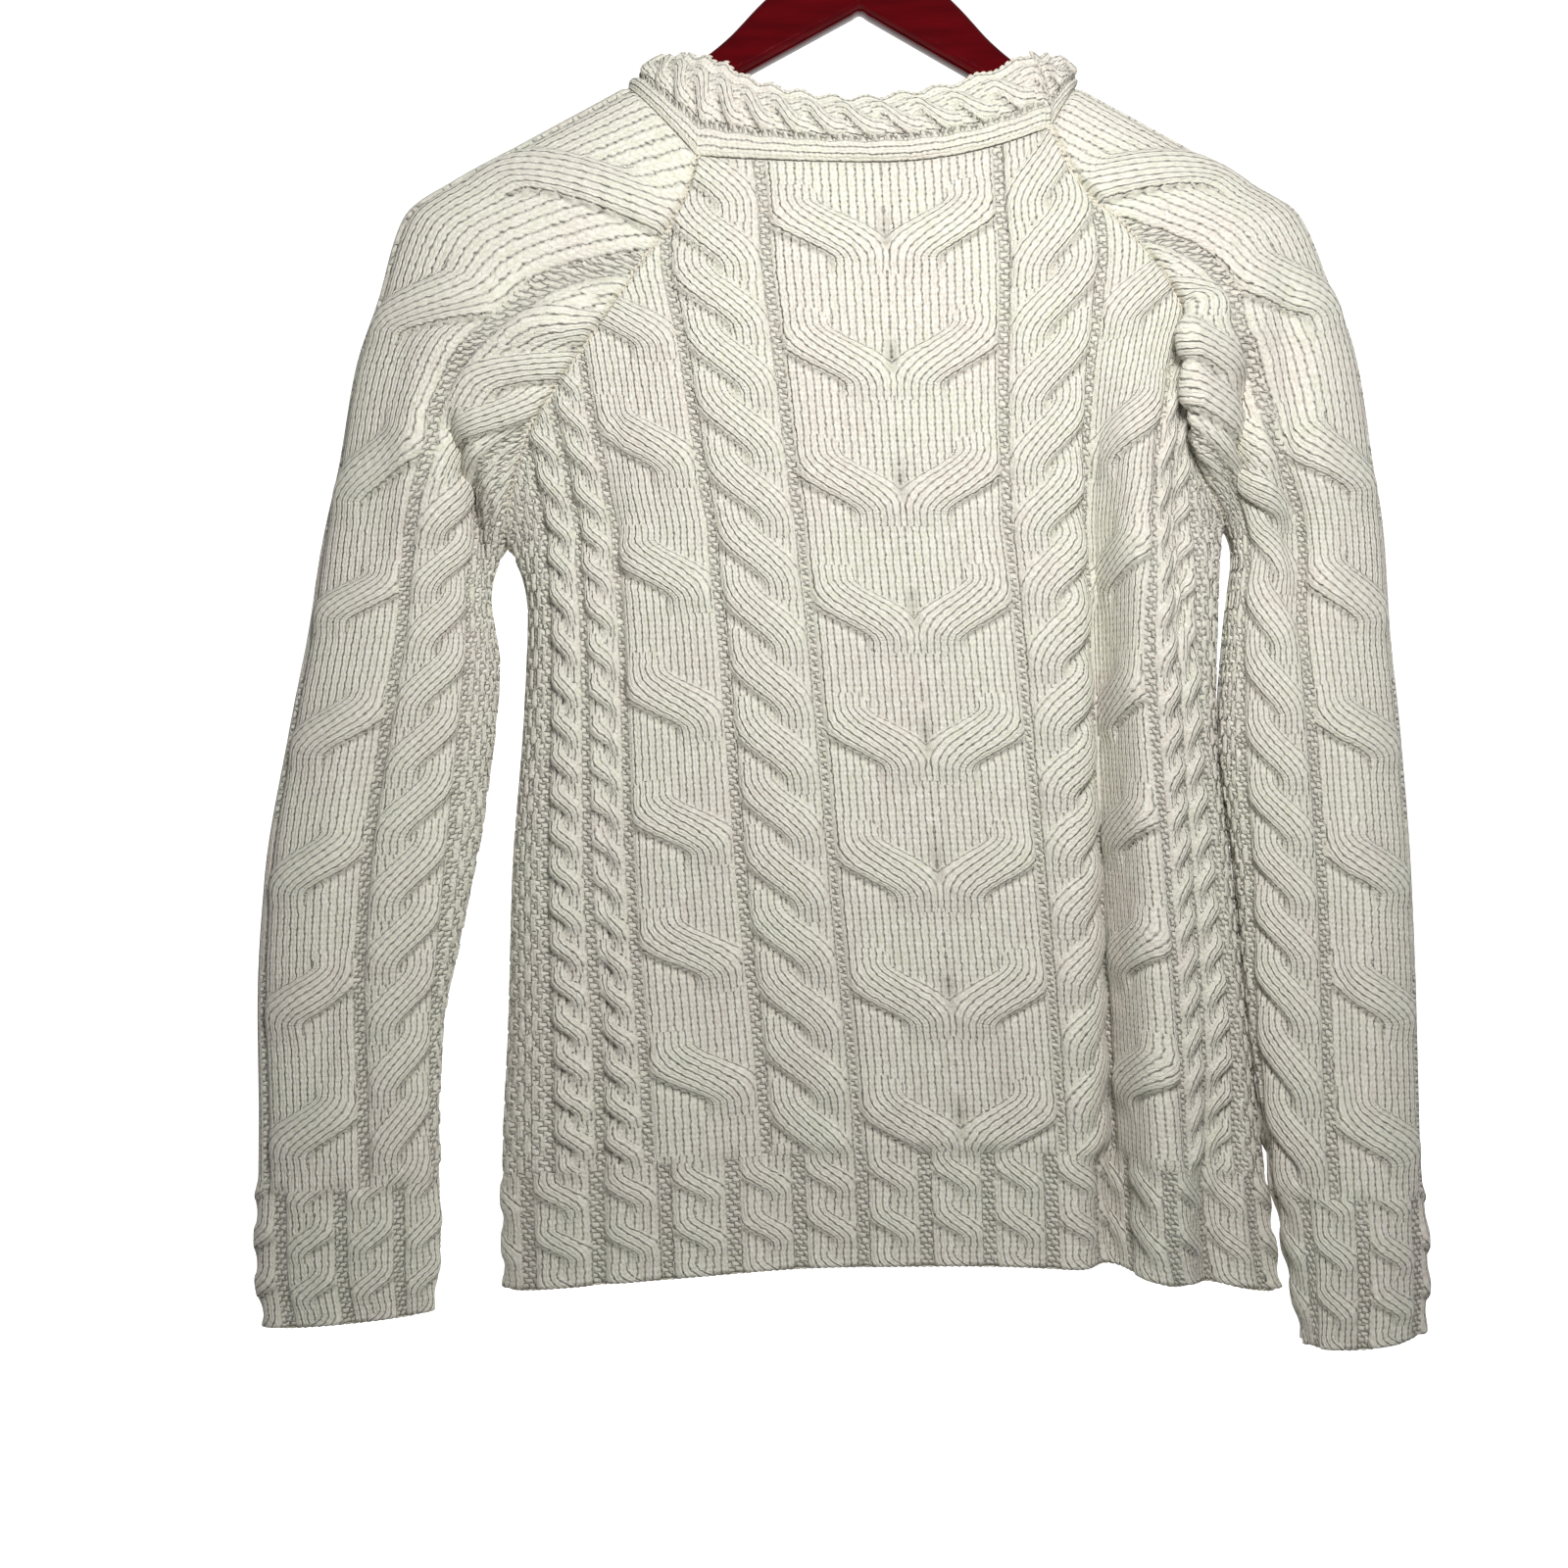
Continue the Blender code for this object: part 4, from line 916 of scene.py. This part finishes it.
# row, x, y, z of the seam along the inner side of the arm
LEFT_INNER = (
    (0, -213, -16, -758),
    (40, -209, -16, -722),
    (97, -211, -14, -663),
    (135, -210, -12, -625),
    (190, -200, -10, -570),
    (250, -189, -7, -508),
    (320, -183, -3, -440),
    (360, -188, 0, -403),
    (374, -186, 0, -391),
    (385, -178, 0, -378),
)
RIGHT_INNER = (
    (0, 219, -24, -772),
    (40, 210, -24, -728),
    (97, 200.5, -20, -668),
    (150, 192, -16, -606),
    (215, 188, -12, -545),
    (290, 180, -10, -474),
    (330, 183.5, -6, -430),
    (358, 188, -2, -398),
    (374, 191, 0, -379),
    (385, 184, 0, -369),
)

# row, fullness of the back half on the left and on the right arm, and of the front half
SLEEVE_FULLNESS = (
    (0, 15, 26, 18),
    (97, 19, 27, 21),
    (222, 25, 27, 24),
    (350, 27, 26, 26),
    (385, 27, 25, 26),
    (440, 23, 22, 23),
    (500, 19, 19, 19),
    (551, 15.5, 15.5, 15.5),
    (591, 12.5, 12.5, 12.5),
)
LEFT_SLEEVE_FOLDS = (
    (-202, -322, -186, -392, 6.0, -17.0, 0.0),
    (-214, -300, -222, -400, 10.0, 5.0, 0.0),
    (-216, -290, -140, -268, 10.0, 5.0, 0.0),
    (-236, -470, -262, -640, 9.0, -3.0, 0.0),
)
RIGHT_SLEEVE_FOLDS = (
    (166, -270, 164, -345, 16.0, 18.0, -17.0),
    (190, -292, 187, -362, 5.0, -12.0, 0.0),
    (206, -262, 214, -420, 9.0, -6.0, 0.0),
    (226, -470, 236, -660, 9.0, -3.0, 0.0),
)
SLEEVE_SIDES = {
    -1: (LEFT_FOLD, LEFT_INNER, LEFT_EDGE, LEFT_SLEEVE_FOLDS),
    1: (RIGHT_FOLD, RIGHT_INNER, RIGHT_EDGE, RIGHT_SLEEVE_FOLDS),
}


def sleeve_half(row, w, hand, side):
    """One row of a sleeve from its outer fold to its seam; hand is -1 on the wearer's left."""
    fold_table, inner_table, edge_table, folds = SLEEVE_SIDES[hand]
    fold = smooth_table(fold_table, row)[0]
    cap = (row - SLEEVE_UNDERARM_ROW) / (SLEEVE_NECK_ROW - SLEEVE_UNDERARM_ROW)
    if cap <= 0:
        inner = smooth_table(inner_table, row)[0]
    else:
        inner = smooth_table(edge_table, UNDERARM_ROW + cap * (NECK_ROW - UNDERARM_ROW))[0]
        if side > 0:
            inner[1] *= -FRONT_SEAM
    left_full, right_full, front_full = smooth_table(SLEEVE_FULLNESS, row)[0]
    fullness = front_full if side > 0 else left_full if hand < 0 else right_full
    tube = 1.0 - ease((row - SLEEVE_UNDERARM_ROW + YOKE_FROM) / YOKE_ROWS)
    power = 2.6 + 0.9 * ease(cap * 2.5)
    rounding = (1.0 - (1.0 - DENSE)**power)**(1.0 / power)
    closed = (1.0 - DENSE**SLEEVE_ROUND)**(1.0 / SLEEVE_ROUND)
    line = fold + (inner - fold) * DENSE[:, None]
    line[:, 1] += side * fullness * rounding * (tube * closed + (1.0 - tube) * (1.0 - DENSE**2))
    if side < 0:
        line = fold_cloth(line, folds, side, ease((1.0 - DENSE) * 7.0) * ease(DENSE * FOLD_FADE))
    width = smooth_table(SLEEVE_CHART_WIDTH, row)[0, 0]
    return lay_stitches(line, w * width / SLEEVE_HALF_CHART, width, 1.0)


def sleeve_row(row, half, hand):
    """One row of a sleeve from its back seam over the outer fold to its front seam."""
    return both_sides(*(sleeve_half(row, half, hand, side) for side in (-1, 1))), 0.0


sleeve_chart = Chart(SLEEVE_CHART, CUFF_BAND)
for hand, word in ((-1, "left"), (1, "right")):
    grid, chart_w, chart_row = plain_piece(lambda row, half: sleeve_row(row, half, hand),
                                           SLEEVE_HALF_CHART, SLEEVE_CHART_WIDTH,
                                           SLEEVE_NECK_ROW, *SLEEVE_GRID)
    near_fold = 1.0 - 0.5 * np.abs(chart_w) / SLEEVE_HALF_CHART
    stretched = 0.1 + 0.9 * ease((chart_row - 400.0) / 110.0) * near_fold
    outward = grid - grid.mean(axis=1, keepdims=True)
    sleeve, normals = knit(word + "_sleeve_knit", grid, chart_w, chart_row, sleeve_chart, outward,
                           stretched, SLEEVE_UNDERARM_ROW)
    seam = sew(word + "_sleeve_seam", grid, normals, ((np.s_[:, -1], SEAM_SINK),), SEAM_STITCH)
    cast_on = sew(word + "_cuff_cast_on", grid, normals, CAST_ON, CAST_ON_STITCH)
    carry(sleeve, "sleeve_" + word)


# NECKBAND
# A narrow strip with one small rope and a plain edge, knitted lengthwise, sewn round the neckline
# and closed on the right back raglan.
BAND_WIDTH = 37.0
BAND_EDGE = 11.0
ROPE_STARTS = 13.0
ROPE_WIDTH = 19.0
BAND_CROSSING_PITCH = 18.0
BAND_TURN = 0.8
BAND_BULGE = 3.0
BAND_SCALLOP = 1.2
BAND_EDGE_RISE = 2.2
GROOVE_WIDE = 1.2
BAND_GRID = (440, 34)
BAND_STITCH = (3.4, 3.4, 1.5, 0.3)
NECK_MIDDLE = np.array([7.0, 1.0, -170.0])

# place round the neck, x, y, z of the band's upper edge
BAND_TOP = (
    (0, 86, -14, -135.5),
    (0.5, 94, -9, -134),
    (1, 97, 0, -133.5),
    (1.5, 94, 9, -136.5),
    (2, 86, 16, -143),
    (2.5, 52, 22, -171),
    (3, 5, 26, -195),
    (3.5, -44, 22, -173),
    (4, -76, 16, -143),
    (4.5, -87.5, 9, -134.5),
    (5, -91, 0, -131),
    (5.5, -86, -9, -133.5),
    (6, -70, -15, -139.5),
    (6.35, -52, -17, -150),
    (7, -4, -18, -158.5),
    (7.5, 38, -17, -153),
    (8, 86, -14, -135.5),
)


def neckline():
    """The pieces' upper edges as one ring from the right back raglan, with places round it."""
    body = np.linspace(0.0, BODY_HALF_CHART, 45)
    sleeve = np.linspace(0.0, SLEEVE_HALF_CHART, 29)
    edges = (
        sleeve_row(SLEEVE_NECK_ROW, sleeve, 1)[0],
        body_row(NECK_ROW, body, 1, FRONT_FOLDS, FRONT_NECK_DROP)[0][::-1],
        sleeve_row(SLEEVE_NECK_ROW, sleeve, -1)[0][::-1],
        body_row(NECK_ROW, body, -1, BACK_FOLDS, 0.0)[0],
    )
    ring, places = [], []
    for k, edge in enumerate(edges):
        middle = (len(edge) - 1) // 2
        length = lengths_along(edge)
        first = length / length[middle]
        second = 1.0 + (length - length[middle]) / (length[-1] - length[middle])
        place = 2.0 * k + np.where(np.arange(len(edge)) <= middle, first, second)
        stop = len(edge) if k == 3 else len(edge) - 1
        ring.append(edge[:stop])
        places.append(place[:stop])
    return np.concatenate(ring), np.concatenate(places)


lower, places = neckline()
along = lengths_along(lower)
fine = np.linspace(0.0, along[-1], BAND_GRID[0] // coarser)
lower, places = points_at(fine, along, lower), np.interp(fine, along, places)
upper = smooth_table(BAND_TOP, places)
outward = unit(((lower + upper) / 2 - NECK_MIDDLE) * np.array([1.0, 1.0, 0.0]))
upper[:, 2] += BAND_SCALLOP * np.cos(2.0 * math.pi * fine / BAND_CROSSING_PITCH)
levels = np.linspace(0.0, 1.0, BAND_GRID[1] // coarser)
grid = np.array([lower + (upper - lower) * v + outward * BAND_BULGE * math.sin(math.pi * v)
                 for v in levels])
across_band = np.repeat(levels[:, None] * BAND_WIDTH, len(fine), axis=1)
along_band = np.repeat(fine[None, :], len(levels), axis=0)
band_rope = (ROPE_WIDTH, BAND_CROSSING_PITCH, BAND_CROSSING_PITCH / 2, BAND_TURN, False)
share = 1.0 - (across_band - ROPE_STARTS) / ROPE_WIDTH
in_rope = (share > 0.0) & (share < 1.0)
surface, line, _, _ = rope_surface(share, along_band, band_rope)
strip = np.clip(1.0 - np.abs(across_band / BAND_EDGE * 2.0 - 1.0)**4, 0.0, 1.0)
height = np.where(across_band < BAND_EDGE, BAND_EDGE_RISE * np.sqrt(strip),
                  np.where(in_rope, surface, 0.0))
# Painted shade: in the groove between the edge strip and the rope, along the band's lower edge, and
# beside the rope's strands
groove = (ROPE_STARTS + BAND_EDGE) / 2
beside = 0.5 * np.exp(-((across_band - groove) / GROOVE_WIDE)**2) + np.exp(-across_band**2)
crease_shade = np.where(in_rope, 0.8 * line, beside)
normals = grid_normals(grid, grid - NECK_MIDDLE)
height = height * edge_fade(grid, 4.0, False, True)

cell_across, cell_along = corners(across_band), corners(along_band)
in_groove = np.abs(middles(across_band) - groove) < GROOVE_WIDE
share = 1.0 - (middles(across_band) - ROPE_STARTS) / ROPE_WIDTH
_, _, on_strand, crossing = rope_surface(share, middles(along_band), band_rope)
rope_u, rope_v = cable_stitches(band_rope, 1.0 - (cell_across - ROPE_STARTS) / ROPE_WIDTH,
                                cell_along, on_strand[:, None], crossing[:, None])
within = ((share > 0.0) & (share < 1.0))[:, None]
cells = (np.where(within, rope_u, cell_across / STITCH_WIDE),
         np.where(within, rope_v, cell_along / STITCH_HIGH), in_groove)
neckband = knitted_sheet("neckband_knit", grid, normals, height, across_band, along_band, cells,
                         crease_shade, np.full(crease_shade.shape, 0.15))
band_edges = ((np.s_[0], 0.6), (np.s_[-1], 1.3), (np.s_[:-4, 0], 1.0))
band_seams = sew("neckband_seams", grid, normals, band_edges, BAND_STITCH)
carry(neckband, "neckband")


# HANGER
# One wishbone sawn from a beech board, rounded over on every edge and dipped in dark red lacquer.
# It lies inside the shoulders; only the wood beside its notch shows above the neckband.
WOOD_THICK = 13.0
WOOD_ROUND = 5.0
NOTCH_Z = -110.0
ARM_SLOPE = 29.3
HANGER_TILT = 0.9
ARM_UNDER_FOLD = 3.9

# Upper x, upper z and lower x of the boss; then only x, where cloth lies on the arm; then how far
# on each step of the round tip is, and its half height
BOSS_SECTIONS = (
    (0, -60, 0),
    (9, -60, 4),
    (13.5, -63.5, 8),
    (22, -75, 14),
    (36, -92.5, 25),
    (52, -108.5, 40),
    (66, -123.5, 55),
    (78, -133.5, 68),
    (91, -142.0, 81),
    (105, -152.5, 97),
)
ARM_SECTIONS = (115, 140, 168, 194, 208)
ARM_LENGTHS = (1.02, 1.005)
ARM_CUT_BACK = 8.0
ARM_TIP = ((3.5, 8.0), (7.0, 6.4), (9.6, 4.0), (11.0, 1.4))


def arm_top(hand, x):
    """Height of the wood's upper edge where the shoulder of a sleeve lies on it."""
    cap = np.linspace(0.46, 1.0, 40)
    rows = SLEEVE_UNDERARM_ROW + (SLEEVE_NECK_ROW - SLEEVE_UNDERARM_ROW) * cap
    line = smooth_table(LEFT_FOLD if hand < 0 else RIGHT_FOLD, rows)
    order = np.argsort(np.abs(line[:, 0]))
    across, height = np.abs(line[order, 0]), line[order, 2]
    steep = (np.interp(x + 3, across, height) - np.interp(x + 1, across, height)) / 2
    return np.interp(x, across, height) - ARM_UNDER_FOLD * math.hypot(1.0, steep)


def arm_outline(hand):
    """Upper and lower points of one half of the wood, from its middle to its round tip."""
    lean, slope = math.tan(math.radians(HANGER_TILT)), math.tan(math.radians(ARM_SLOPE))
    sections = [(x, z - hand * x * lean, low_x) for x, z, low_x in BOSS_SECTIONS]
    for station in ARM_SECTIONS:
        x = station * ARM_LENGTHS[0 if hand < 0 else 1]
        sections.append((x, arm_top(hand, x), x - ARM_CUT_BACK))
    half = np.array([(hand * x, z, hand * low_x, NOTCH_Z - low_x * slope - hand * low_x * lean)
                     for x, z, low_x in sections])
    middle = (half[-1, :2] + half[-1, 2:]) / 2
    onward = unit(half[-1, 2:] - half[-2, 2:])
    upward = np.array([-hand * onward[1], hand * onward[0]])
    tip = [np.concatenate([middle + onward * step + upward * height,
                           middle + onward * step - upward * height])
           for step, height in ARM_TIP]
    return np.concatenate([half, tip])


def rounded_section(upper_x, upper_z, lower_x, lower_z, steps):
    """Rectangle with round corners between an upper and a lower point of the outline."""
    upper, lower = np.array([upper_x, upper_z]), np.array([lower_x, lower_z])
    height = np.linalg.norm(lower - upper)
    down = (lower - upper) / height
    radius = min(WOOD_ROUND, 0.48 * height)
    half = WOOD_THICK / 2
    ring = []
    for centre_y, centre_h, start in (
        (half - radius, radius, -90), (half - radius, height - radius, 0),
        (radius - half, height - radius, 90), (radius - half, radius, 180),
    ):
        for k in range(steps):
            turn = math.radians(start + 90.0 * k / (steps - 1))
            y, h = centre_y + radius * math.cos(turn), centre_h + radius * math.sin(turn)
            place = upper + down * h
            ring.append((place[0], y, place[1]))
    return ring


def skin(name, sections, material):
    """Closed smooth solid through equal rings of millimetre points, with a cap at both ends."""
    sides = len(sections[0])
    points = np.array(sections).reshape(-1, 3) * MM
    faces = [(k * sides + i, k * sides + (i + 1) % sides,
              (k + 1) * sides + (i + 1) % sides, (k + 1) * sides + i)
             for k in range(len(sections) - 1) for i in range(sides)]
    faces += [tuple(range(sides)), tuple(range(len(points) - sides, len(points)))]
    mesh = bpy.data.meshes.new(name)
    mesh.from_pydata(points.tolist(), [], faces)
    return smooth_piece(name, mesh, material,
                        lambda work: bmesh.ops.recalc_face_normals(work, faces=work.faces))


def lacquered_beech():
    """Dipped lacquer over beech: a wet gloss with soft ripples, and the grain barely showing."""
    material, tree, shader, where = new_material("dark_red_lacquered_beech")
    along = add(tree, "ShaderNodeMapping", {0: where, "Scale": (28.0, 260.0, 190.0)})
    grain = add(tree, "ShaderNodeTexNoise", {"Vector": along, "Scale": 1.0, "Detail": 4.0})
    tone = add(tree, "ShaderNodeValToRGB", {0: grain})
    for stop, place, code in zip(tone.color_ramp.elements, (0.35, 0.68), ("#480207", "#580309")):
        stop.position, stop.color = place, linear(code)
    ripple = add(tree, "ShaderNodeTexNoise", {"Vector": where, "Scale": 160.0, "Detail": 1.0})
    bump = add(tree, "ShaderNodeBump", {"Height": ripple, "Strength": 0.18, "Distance": 0.0006})
    scuffs = add(tree, "ShaderNodeTexNoise", {"Vector": where, "Scale": 45.0, "Detail": 5.0})
    rough = add(tree, "ShaderNodeMapRange", {0: scuffs, 1: 0.35, 2: 0.75, 3: 0.1, 4: 0.2})
    fill(shader, {"Base Color": tone, "Normal": bump, "Roughness": rough,
                  "Specular IOR Level": 0.3, "Coat Weight": 0.3, "Coat Roughness": 0.08})
    return material


outline = np.concatenate([arm_outline(-1)[:0:-1], arm_outline(1)])
finer = smooth_table(np.column_stack([np.arange(len(outline)), outline]),
                     np.linspace(0, len(outline) - 1, 6 * len(outline) - 5))
hanger = skin("hanger_wood", [rounded_section(*row, 6) for row in finer], lacquered_beech())
carry(hanger, "hanger")


# HOOK
# Drawn steel wire, 3.8 mm, bent to an open loop and plated; a small pressed flange seats it on the
# wood. The picture ends below it, so it is an ordinary hook.
WIRE = 3.8
HOOK_INNER = 19.0
FLANGE = 9.0
HOOK_STEM = ((2.2, -44.8), (6.6, -40.4))
HOOK_ARC = (-58.0, 186.0, 49)


def plated_steel():
    """Bright plated wire: a clear reflection, broken up by a faint haze from the drawing die."""
    material, tree, shader, where = new_material("bright_plated_steel_wire")
    haze = add(tree, "ShaderNodeTexNoise", {"Vector": where, "Scale": 420.0, "Detail": 4.0})
    rough = add(tree, "ShaderNodeMapRange", {0: haze, 1: 0.3, 2: 0.7, 3: 0.16, 4: 0.32})
    tone = add(tree, "ShaderNodeMix", {0: haze, 6: linear("#B9BBBD"), 7: linear("#D6D7D6")},
               data_type="RGBA")
    bump = add(tree, "ShaderNodeBump", {"Height": haze, "Strength": 0.12, "Distance": 0.0002})
    fill(shader, {"Base Color": tone.outputs[2], "Normal": bump, "Roughness": rough,
                  "Metallic": 1.0})
    return material


def wire_tree():
    """Geometry Nodes: round wire along a line of points that carry their own radius."""
    tree, given = new_tree("wire_along_a_line", "Line", (("Sides", "Int", 20),), "Wire")
    line = add(tree, "GeometryNodeMeshToCurve", {0: given["Line"]})
    size = add(tree, "GeometryNodeInputNamedAttribute", {0: "radius"}, data_type="FLOAT")
    circle = add(tree, "GeometryNodeCurvePrimitiveCircle",
                 {"Resolution": given["Sides"], "Radius": 1.0})
    tube = add(tree, "GeometryNodeCurveToMesh",
               {0: line, "Profile Curve": circle, "Scale": size, "Fill Caps": True})
    return close_tree(tree, given, tube)


# x, height over the wood and radius of the wire's foot, from the pressed flange up
WIRE_FOOT = (
    (0.0, 0.3, FLANGE / 2),
    (0.0, 1.3, FLANGE / 2),
    (0.0, 1.8, FLANGE / 2 - 0.5),
    (0.0, 2.1, WIRE / 2 + 0.3),
    (0.0, 2.4, WIRE / 2),
    (0.0, 6.0, WIRE / 2),
    (0.2, 11.0, WIRE / 2),
)
bend = HOOK_INNER + WIRE / 2
wire_path = [(x, BOSS_SECTIONS[0][1] + up, radius) for x, up, radius in WIRE_FOOT]
wire_path += [(x, z, WIRE / 2) for x, z in HOOK_STEM]
for turn in np.radians(np.linspace(*HOOK_ARC)):
    wire_path.append((bend * math.cos(turn), -HOOK_INNER + bend * math.sin(turn), WIRE / 2))
wire_path.append((wire_path[-1][0] + 0.12, wire_path[-1][1] - 1.2, WIRE * 0.3))
mesh = bpy.data.meshes.new("hook_wire")
mesh.from_pydata([(x * MM, 0.0, z * MM) for x, z, _ in wire_path],
                 [(k, k + 1) for k in range(len(wire_path) - 1)], [])
radius = mesh.attributes.new("radius", "FLOAT", "POINT")
radius.data.foreach_set("value", [r * MM for _, _, r in wire_path])
hook = grow("hook_wire", mesh, wire_tree(), {"Material": plated_steel()})
carry(hook, "hook")


# STAGE
# A white sweep behind and below, soft light from large panels, and the camera at the photograph's
# place: level, 0.9 m behind the sweater.
SWEEP_PROFILE = ((-3.0, -1.3), (0.7, -1.3), (1.2, -1.27), (1.6, -1.15), (1.9, -0.92),
                 (2.1, -0.55), (2.2, 0.0), (2.2, 3.0))
sweep = bpy.data.meshes.new("pale_sweep")
sweep.from_pydata([(x, y, z) for y, z in SWEEP_PROFILE for x in (-4.0, 4.0)], [],
                  [(2 * k, 2 * k + 1, 2 * k + 3, 2 * k + 2) for k in range(len(SWEEP_PROFILE) - 1)])
sweep.polygons.foreach_set("use_smooth", np.ones(len(sweep.polygons), bool))
backdrop = into_scene("pale_sweep", sweep)
# Matt white paper. It glows from 0.35 m behind the sweater on, so that the ground shows white.
paper, tree, shader, where = new_material("white_paper")
depth = add(tree, "ShaderNodeSeparateXYZ", {0: where}).outputs[1]
lit = add(tree, "ShaderNodeMapRange", {0: depth, 1: 0.35, 2: 0.85})
fill(shader, {"Emission Strength": lit, "Emission Color": linear("#FFFFFF"),
              "Base Color": linear("#F4F4F2"), "Roughness": 1.0})
sweep.materials.append(paper)

# Name, place, aim, size and power of each panel. Only the small one over the hanger shows in the
# gloss: the others would turn the lacquer white.
PANELS = (
    ("key_panel", (0.08, -0.72, -0.08), (0.02, 0.0, -0.36), 0.2, 6.6),
    ("fill_panel", (0.8, -1.5, -0.5), (0.0, 0.0, -0.4), 1.2, 0.4),
    ("back_panel", (0.3, 1.5, 0.3), (0.0, 0.0, -0.4), 1.4, 5.0),
    ("hanger_panel", (0.1, -0.5, 0.5), (0.0, 0.0, -0.12), 0.25, 0.2),
)
for name, place, aim, size, power in PANELS:
    lamp = bpy.data.lights.new(name, "AREA")
    lamp.size, lamp.energy = size, power
    panel = into_scene(name, lamp)
    panel.location = place
    panel.rotation_euler = (Vector(aim) - Vector(place)).to_track_quat("-Z", "Y").to_euler()
    panel.visible_glossy = name == "hanger_panel"

world = bpy.data.worlds.new("soft_room")
world.use_nodes = True
fill(world.node_tree.nodes["Background"], {0: (1.0, 1.0, 1.0, 1.0), 1: 0.07})
bpy.context.scene.world = world
bpy.context.scene.view_settings.view_transform = "Standard"

lens = bpy.data.cameras.new("photo_camera")
lens.lens = 40.9
lens.sensor_width = 36.0
lens.clip_start = 0.05
camera = into_scene("photo_camera", lens)
camera.location = (-0.0381, -0.9, -0.4986)
camera.rotation_euler = (math.radians(90.0), 0.0, 0.0)
bpy.context.scene.camera = camera
